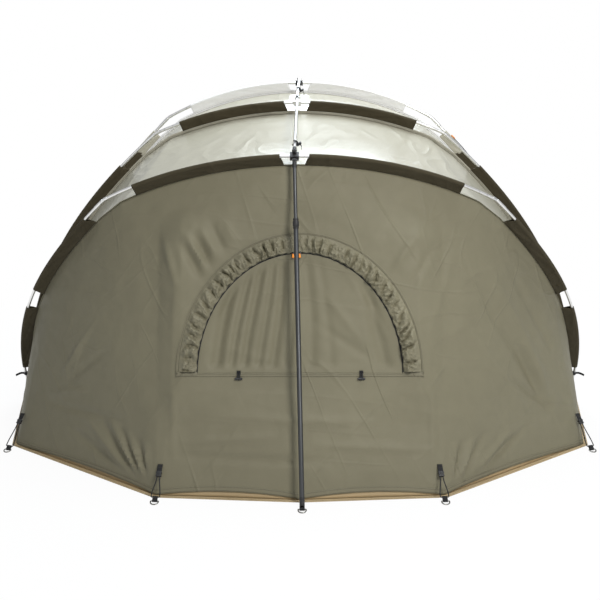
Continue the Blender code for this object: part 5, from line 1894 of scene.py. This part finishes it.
class TENT_OT_crown(bpy.types.Operator):
    """Crown bars with their eyes and hooks, the apex blocks and the ground hubs"""

    bl_idname = "tent.crown"
    bl_label = "Crown bars, blocks and hubs"

    def execute(self, context):
        for name in RIBS:
            dress(name + "_block", aluminium() if name == "second" else plastic(), 0.0011)
        for word in ("left", "right"):
            dress("hub_" + word, plastic(), 0.0010)
        for name, front in BAR_HEADINGS:
            self.bar(name, RIBS[front])
        self.pins()
        return {"FINISHED"}

    def bar(self, name, front):
        pin = joint_place(name)
        verts = frame["nodes"][name].data.vertices
        far = max((vert.co for vert in verts), key=lambda place: (place - pin).length)
        edge = front.apex() - front.ahead * 0.014 + front.out * 0.011
        run = Vector((0.0, edge.y - pin.y, edge.z - pin.z))
        lift = math.asin(0.0068 / run.length)
        direction = (Matrix.Rotation(lift, 3, "X") @ run + Vector((edge.x - pin.x, 0.0, 0.0))).normalized()
        length = (far - pin).dot(direction)
        points = [pin + direction * (0.0100 + (length - 0.0100) * k / 24) for k in range(25)]
        thing = pipe(name + "_tube", points, 0.0065, aluminium(), resolution=6)
        finish_piece(thing, name, (name,))
        collar = (
            (0.0064, 0.0), (0.0080, 0.0), (0.0084, 0.001), (0.0084, 0.017), (0.0078, 0.019), (0.0064, 0.019)
        )
        eye_and_collar(name, name, pin, direction, 0.0075, collar)
        self.clip(name, pin + direction * (length * CLIP_SHARES[name]), direction)

    def clip(self, name, centre, direction):
        """A hook round the bar with its short web tab to the right, which holds the roof up to it."""
        side = direction.cross(UP).normalized()
        above = side.cross(direction).normalized()
        ring = round_line(centre, side, above, 0.0105, [-150 + 270 * k / 24 for k in range(25)])
        hook = pipe(name + "_hook", ring, 0.0037, plastic(), resolution=3)
        finish_piece(hook, name)
        shape = bmesh.new()
        turn = Matrix.Rotation(math.radians(-32), 3, direction)
        slant, rise = turn @ side, turn @ above
        axes = (slant, rise, direction)
        block(shape, centre + side * 0.0170 - above * 0.0035, axes, (0.020, 0.0085, 0.017), 0.0022, 3)
        block(shape, centre + side * 0.0180 - above * 0.0005, axes, (0.009, 0.0050, 0.010), 0.0012, 3)
        piece_of(shape, name + "_hook_tab", plastic(), name)
        drops = ((0.022, 0.006), (0.027, 0.014), (0.028, 0.028))
        points = [centre + side * a - above * b for a, b in drops]
        strap(name + "_hook_web", smooth_line(points, 12), direction, 0.012, 0.0014, name)

    def pins(self):
        """The steel pins on which the rear pole and the crown bars turn, each held by its block's rib."""
        for name, rib_body in (("rear_pole_upper", "base"), ("crown_bar_rear", "base"),
                               ("crown_bar_second", "second_rib"), ("crown_bar_third", "third_rib")):
            centre = joint_place(name)
            half = 0.0100
            profile = both_ends(((0.0, -half), (0.0036, -half), (0.0042, -half + 0.0006), (0.0042, -0.0087),
                                 (0.0023, -0.0086)))
            pin = lathed(name + "_pin", centre, ACROSS, profile, steel(), 24)
            finish_piece(pin, rib_body)


def strap(name, points, across, width, thickness, body, replaced=()):
    """A strip of webbing along a line of points, across the same way all along."""
    count = len(points) - 1
    total = sum((b - a).length for a, b in zip(points, points[1:]))

    def place(s, t):
        return points[int(round(s * count))] + across * ((t - 0.5) * width)

    thing = cloth(name, count, 6, (total, width), place, web_material())
    thicken(thing, thickness, 0.0)
    finish_piece(thing, body, replaced)


# Rear pole

LOCK_PLACE = 0.233
LOCK_LENGTH = 0.041
UPPER_LENGTH = 0.606
UPPER_RADIUS = 0.0073
LOWER_RADIUS = 0.0094
WEB_WIDTH = 0.020
WEB_THICKNESS = 0.0020
RING_WIRE = 0.0025
RING_BOW = 0.0150
RING_BAR_HALF = 0.0126
RING_SHOULDER = 0.006


class TENT_OT_rear_pole(bpy.types.Operator):
    """Telescopic rear pole: graphite tubes, ribbed twist lock, rubber foot and the strap it stands on"""

    bl_idname = "tent.rear_pole"
    bl_label = "Rear pole"

    def execute(self, context):
        pin = joint_place("rear_pole_upper")
        down = Vector(joint_of("rear_pole_lower")["axis"]).normalized()
        if down.z > 0:
            down = -down
        mouth = pin + down * (LOCK_PLACE + LOCK_LENGTH)
        self.upper(pin, down)
        self.lower(mouth, down)
        self.twist_lock(pin, mouth, down)
        self.foot_strap()
        return {"FINISHED"}

    def upper(self, pin, down):
        points = [pin + down * (0.0070 + UPPER_LENGTH * k / 12) for k in range(13)]
        tube = pipe("rear_pole_upper_tube", points, UPPER_RADIUS, graphite(), resolution=6)
        finish_piece(tube, "rear_pole_upper", ("rear_pole_upper",))
        collar = (
            (0.0072, 0.0), (0.0082, 0.0), (0.0090, 0.001), (0.0090, 0.020), (0.0083, 0.0225),
            (0.0072, 0.0225)
        )
        eye_and_collar("rear_pole", "rear_pole_upper", pin, down, 0.0078, collar)

    def lower(self, mouth, down):
        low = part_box("rear_pole_lower")[0].z
        radius = LOWER_RADIUS
        end_height = low + radius * math.sqrt(1 - down.z * down.z)
        length = (end_height - mouth.z) / down.z
        profile = (
            (0.0079, 0.0), (0.0090, 0.0), (radius, 0.0006), (radius, length - 0.031),
            (0.0079, length - 0.031)
        )
        tube = lathed("rear_pole_lower_tube", mouth, down, profile, graphite(), 40, closed=True)
        finish_piece(tube, "rear_pole_lower", ("rear_pole_lower",))
        start = length - 0.034
        profile = (
            (0.0, start + 0.002), (0.0088, start + 0.002), (0.0096, start), (0.0099, start + 0.001),
            (0.0099, start + 0.010), (0.0096, start + 0.011), (0.0099, start + 0.012),
            (0.0099, start + 0.018), (0.0096, start + 0.019), (0.0099, start + 0.020),
            (0.0097, length - 0.0014), (0.0088, length - 0.0006), (0.0, length - 0.0004)
        )
        foot = lathed("rear_pole_foot", mouth, down, profile, plastic(), 40)
        finish_piece(foot, "rear_pole_lower")

    def twist_lock(self, pin, mouth, down):
        high = pin + down * LOCK_PLACE
        length = (mouth - high).dot(down) - 0.0003
        shape = bmesh.new()
        profile = [
            (0.0078, 0.0), (0.0102, 0.0), (0.0110, 0.0012), (0.0110, 0.0070), (0.0096, 0.0085),
            (0.0096, 0.0100), (0.0116, 0.0112), (0.0118, 0.0125), (0.0118, length - 0.0090),
            (0.0112, length - 0.0078), (0.0098, length - 0.0070), (0.0108, length - 0.0060),
            (0.0110, length - 0.0012), (0.0104, length), (0.0078, length)
        ]
        lathe(shape, high, down, profile, 48, closed=True)
        first = down.orthogonal().normalized()
        for k in range(14):
            side = Matrix.Rotation(math.tau * k / 14, 3, down) @ first
            centre = high + down * (length + 0.0035) / 2 + side * 0.0116
            block(shape, centre, (side, down, side.cross(down)), (0.0016, length - 0.0230, 0.0016), 0.0004)
        replaced = ("rear_pole_lock",)
        piece_of(shape, "rear_pole_twist_lock", plastic(), "rear_pole_lock", replaced)

    def foot_strap(self):
        bar = joint_place("ground_ring_middle")
        corners = [(1.338, 0.0040), (1.360, 0.0040), (1.385, 0.0040), (1.410, 0.0040), (1.424, 0.0040)]
        points = [Vector((bar.x, -away, high)) for away, high in corners]
        points += round_line(bar, REARWARD, UP, 0.0044, (-60, -20, 20, 60, 100, 140, 180, 205))
        points.append(Vector((bar.x, -1.4245, 0.0068)))
        points.append(Vector((bar.x, -1.4190, 0.0066)))
        line = smooth_line(points, 90)
        strap("pole_foot_web", line, ACROSS, WEB_WIDTH, WEB_THICKNESS, "base", ("pole_foot_strap",))
        shape = bmesh.new()
        for shift in (-0.006, 0.0, 0.006):
            for rise in (-1.3600, -1.3660):
                block(
                    shape, Vector((bar.x + shift, rise, 0.0053)), (ACROSS, REARWARD, UP),
                    (0.0042, 0.0010, 0.0008)
                )
        piece_of(shape, "pole_foot_stitches", thread(), "base")
        make_ring("ground_ring_middle", bar, ACROSS, REARWARD)


def make_ring(name, bar, across, heading):
    """A bright D-ring: straight bar in the strap, round bow lying out on the ground."""
    slope = math.asin((bar.z - RING_WIRE - 0.0003) / (RING_SHOULDER + RING_BOW))
    away = heading * math.cos(slope) - UP * math.sin(slope)
    outline = [(-RING_BAR_HALF, 0.0), (0.0, 0.0), (RING_BAR_HALF, 0.0), (0.0146, 0.0010), (RING_BOW, 0.0035)]
    for k in range(25):
        angle = math.pi * k / 24
        outline.append((RING_BOW * math.cos(angle), RING_SHOULDER + RING_BOW * math.sin(angle)))
    outline += [(-RING_BOW, 0.0035), (-0.0146, 0.0010)]
    path = [bar + across * a + away * b for a, b in outline]
    thing = pipe(name + "_wire", path, RING_WIRE, steel(), cyclic=True, resolution=5)
    finish_piece(thing, name, (name,))


# Corner adjusters

TAB_LENGTH = 0.034
CORD_LOCK_HALF = 0.011
CORD_LOCK_LAP = 0.003
CORD_START = 0.0535
CORD_TURN = 0.0040
RING_STRAP_LENGTH = 0.016
RING_WEB_WIDTH = 0.019
RING_WEB_THICKNESS = 0.0013
RING_WEB_TURN = 0.0037
CORD_RADIUS = 0.0022


class TENT_OT_adjusters(bpy.types.Operator):
    """Corner adjusters: web tab, cord lock, elastic loop, ring strap and D-ring"""

    bl_idname = "tent.adjusters"
    bl_label = "Corner adjusters"

    def execute(self, context):
        for name in ADJUSTERS:
            self.adjuster(name)
        return {"FINISHED"}

    def adjuster(self, name):
        foot = joint_place("ground_ring_" + name)
        verts = [vert.co for vert in frame["nodes"]["adjuster_tab_" + name].data.vertices]
        # the ring strap lies on the line from the tab to the ring
        down = (foot - sum(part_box("ring_strap_" + name), Vector()) / 2).normalized()
        length = max((foot - place).dot(down) for place in verts)
        top = foot - down * length
        across = down.cross(UP).normalized()
        out = across.cross(down).normalized()
        axes = (across, down, out)
        self.tab(name, top, axes)
        self.lock(name, top + down * (TAB_LENGTH + CORD_LOCK_HALF - CORD_LOCK_LAP), axes)
        bend = length - RING_STRAP_LENGTH
        self.loop(name, top, axes, bend)
        self.ring_strap(name, foot, top + down * bend, axes)
        heading = Vector((down.x, down.y, 0.0)).normalized()
        make_ring("ground_ring_" + name, foot, across, heading)

    def tab(self, name, top, axes):
        across, down, out = axes
        lifts = ((0.0006, 0.0006), (0.010, 0.0004), (0.022, 0.0006), (TAB_LENGTH, 0.001))
        points = smooth_line([top + down * drop + out * lift for drop, lift in lifts], 24)
        strap("adjuster_web_" + name, points, across, WEB_WIDTH, 0.0016, "base", ("adjuster_tab_" + name,))
        shape = bmesh.new()
        for rise in (0.004, 0.014):
            for shift in (-0.0062, -0.0021, 0.0021, 0.0062):
                centre = top + down * rise + across * shift + out * 0.0015
                block(shape, centre, axes, (0.0028, 0.0009, 0.0008))
        piece_of(shape, "adjuster_stitches_" + name, thread(), "base")

    def lock(self, name, centre, axes):
        across, down, out = axes
        outline = both_sides(((0.0078, -0.0110), (0.0106, -0.0090), (0.0118, -0.0050), (0.0096, -0.0008),
                              (0.0100, 0.0035), (0.0118, 0.0075), (0.0100, 0.0108)))
        body = outline_plate(
            "cord_lock_" + name, outline, centre, across, down, out, -0.0058, 0.0058, plastic(), 0.0016
        )
        finish_piece(body, "base")
        shape = bmesh.new()
        profile = ((0.0, 0.0), (0.0056, 0.0), (0.0056, 0.0062), (0.0048, 0.0070), (0.0, 0.0072))
        lathe(shape, centre - down * 0.002, out, profile, 28)
        for k in (-1, 0, 1):
            ridge = centre - down * (0.002 + 0.0022 * k) + out * 0.0070
            block(shape, ridge, axes, (0.0080, 0.0008, 0.0010), 0.0002)
        piece_of(shape, "cord_lock_button_" + name, plastic(), "base")

    def loop(self, name, top, axes, bend):
        """The elastic cord: out of the lock, through the ring strap and back."""
        across, down = axes[:2]
        half = []
        drop = bend - CORD_TURN - CORD_START
        for k in range(9):
            share = k / 9
            half.append((0.0055 + 0.0110 * smooth(share), CORD_START + drop * share))
        for k in range(7):
            angle = math.pi / 2 * k / 6
            inward = 1 - math.cos(angle)
            half.append((0.0165 - CORD_TURN * inward, bend - CORD_TURN * (1 - math.sin(angle))))
        route = [(-side, along) for side, along in half] + [(side, along) for side, along in reversed(half)]
        points = [top + across * side + down * along for side, along in route]
        points = smooth_line(points, 4 * (len(points) - 1))
        thing = pipe("adjuster_elastic_" + name, points, CORD_RADIUS, elastic())
        finish_piece(thing, "base", ("adjuster_cord_" + name,))
        total = sum((b - a).length for a, b in zip(points, points[1:]))
        tuple(points[0])
        [tuple(point) for point in points]

    def ring_strap(self, name, foot, bend, axes):
        """A short web loop: round the elastic at its top and round the ring's bar at its foot."""
        across, down, out = axes
        points = round_line(bend, down, out, RING_WEB_TURN, range(90, 271, 15))
        points += round_line(foot, down, out, RING_WEB_TURN, range(-90, 91, 15))
        points.append(points[0].copy())
        line = smooth_line(points, 120)
        strap(
            "ring_web_" + name, line, across, RING_WEB_WIDTH, RING_WEB_THICKNESS, "base",
            ("ring_strap_" + name,)
        )


# Side ties and the marker tag

TIE_TOP_SHARE = 0.868
TIE_FOOT_SHARE = 0.905


class TENT_OT_side_ties(bpy.types.Operator):
    """Small web ties from the shell to the rear rib's legs, and the orange pull tag on the third rib"""

    bl_idname = "tent.side_ties"
    bl_label = "Side ties and tag"

    def execute(self, context):
        rib = RIBS["rear"]
        for side, word in SIDES:
            arc = side * rib.leg_arc(TIE_FOOT_SHARE)
            self.tie(word, rib, arc, side)
        self.tag(RIBS["third"])
        return {"FINISHED"}

    def tie(self, word, rib, arc, side):
        """A web strip from the shell's edge down to the pole, once round it, with a loose tail."""
        along = (rib.point(arc + 0.01 * side) - rib.point(arc)).normalized()
        start = side * rib.leg_arc(TIE_TOP_SHARE)
        corners = [rib.point(start, 0.050, -0.003), rib.point(start + side * 0.03, 0.034, -0.008),
                   rib.point(arc - side * 0.012, 0.013, -0.0105), rib.point(arc, 0.0, -0.0105)]
        across = (corners[3] - corners[0]).cross(rib.ahead).normalized()
        strap("side_tie_" + word, smooth_line(corners, 40), across, 0.019, 0.0020, "base")
        ring = []
        for degrees in range(0, 361, 20):
            angle = math.radians(degrees)
            ring.append(rib.point(arc, 0.0086 * math.cos(angle), -0.0086 * math.sin(angle)))
        strap("side_tie_ring_" + word, smooth_line(ring, 72), along, 0.015, 0.0016, "base")
        tail = [rib.point(arc, -0.0085, -0.0010), rib.point(arc, -0.022, -0.004) + UP * 0.002,
                rib.point(arc, -0.036, -0.008) - UP * 0.001, rib.point(arc, -0.048, -0.010) - UP * 0.006]
        strap("side_tie_tail_" + word, smooth_line(tail, 30), along, 0.014, 0.0020, "base")

    def tag(self, rib):
        """The black pull strap outside the third rib's right leg sleeve, with its orange end."""
        start = rib.crown_length + 0.150
        points = [
            rib.point(start + 0.115 * k / 4, -0.0112 - 0.0016 * math.sin(math.pi * k / 4)) for k in range(5)
        ]
        strap("marker_tag_web", smooth_line(points, 40), rib.ahead, 0.012, 0.0018, rib.body)
        shape = bmesh.new()
        along = (points[1] - points[0]).normalized()
        centre = rib.point(start - 0.006, -0.0128)
        outward = along.cross(rib.ahead).normalized()
        block(shape, centre, (along, rib.ahead, outward), (0.024, 0.014, 0.0048), 0.0014, 3)
        piece_of(shape, "marker_tag", orange(), rib.body)


# The sidebar and the whole run

PIECES = (
    "stage", "groundsheet", "rear_wall", "window", "storm_band", "sliders", "roof", "front_wall", "ribs",
    "sleeves", "crown", "rear_pole", "adjusters", "side_ties",
)


class TENT_PT_panel(bpy.types.Panel):
    bl_idname = "TENT_PT_panel"
    bl_label = "Bivvy tent"
    bl_space_type = "VIEW_3D"
    bl_region_type = "UI"
    bl_category = "Tent"

    def draw(self, context):
        for group_name in ("tent_sizes", "tent_colours"):
            values = getattr(context.scene, group_name)
            box = self.layout.box()
            for label in values.__annotations__:
                box.prop(values, label)
        for label in PIECES:
            self.layout.operator("tent." + label)


CLASSES = (
    TentSizes, TentColours, TENT_OT_stage, TENT_OT_groundsheet, TENT_OT_rear_wall, TENT_OT_window,
    TENT_OT_storm_band, TENT_OT_sliders, TENT_OT_roof, TENT_OT_front_wall, TENT_OT_ribs, TENT_OT_sleeves,
    TENT_OT_crown, TENT_OT_rear_pole, TENT_OT_adjusters, TENT_OT_side_ties, TENT_PT_panel,
)


def register():
    for kind in CLASSES:
        bpy.utils.register_class(kind)
    bpy.types.Scene.tent_sizes = bpy.props.PointerProperty(type=TentSizes)
    bpy.types.Scene.tent_colours = bpy.props.PointerProperty(type=TentColours)


def unregister():
    del bpy.types.Scene.tent_colours
    del bpy.types.Scene.tent_sizes
    for kind in reversed(CLASSES):
        bpy.utils.unregister_class(kind)


def main():
    register()
    for label in PIECES:
        getattr(bpy.ops.tent, label)()
    bpy.context.view_layer.update()


if __name__ == "__main__":
    main()
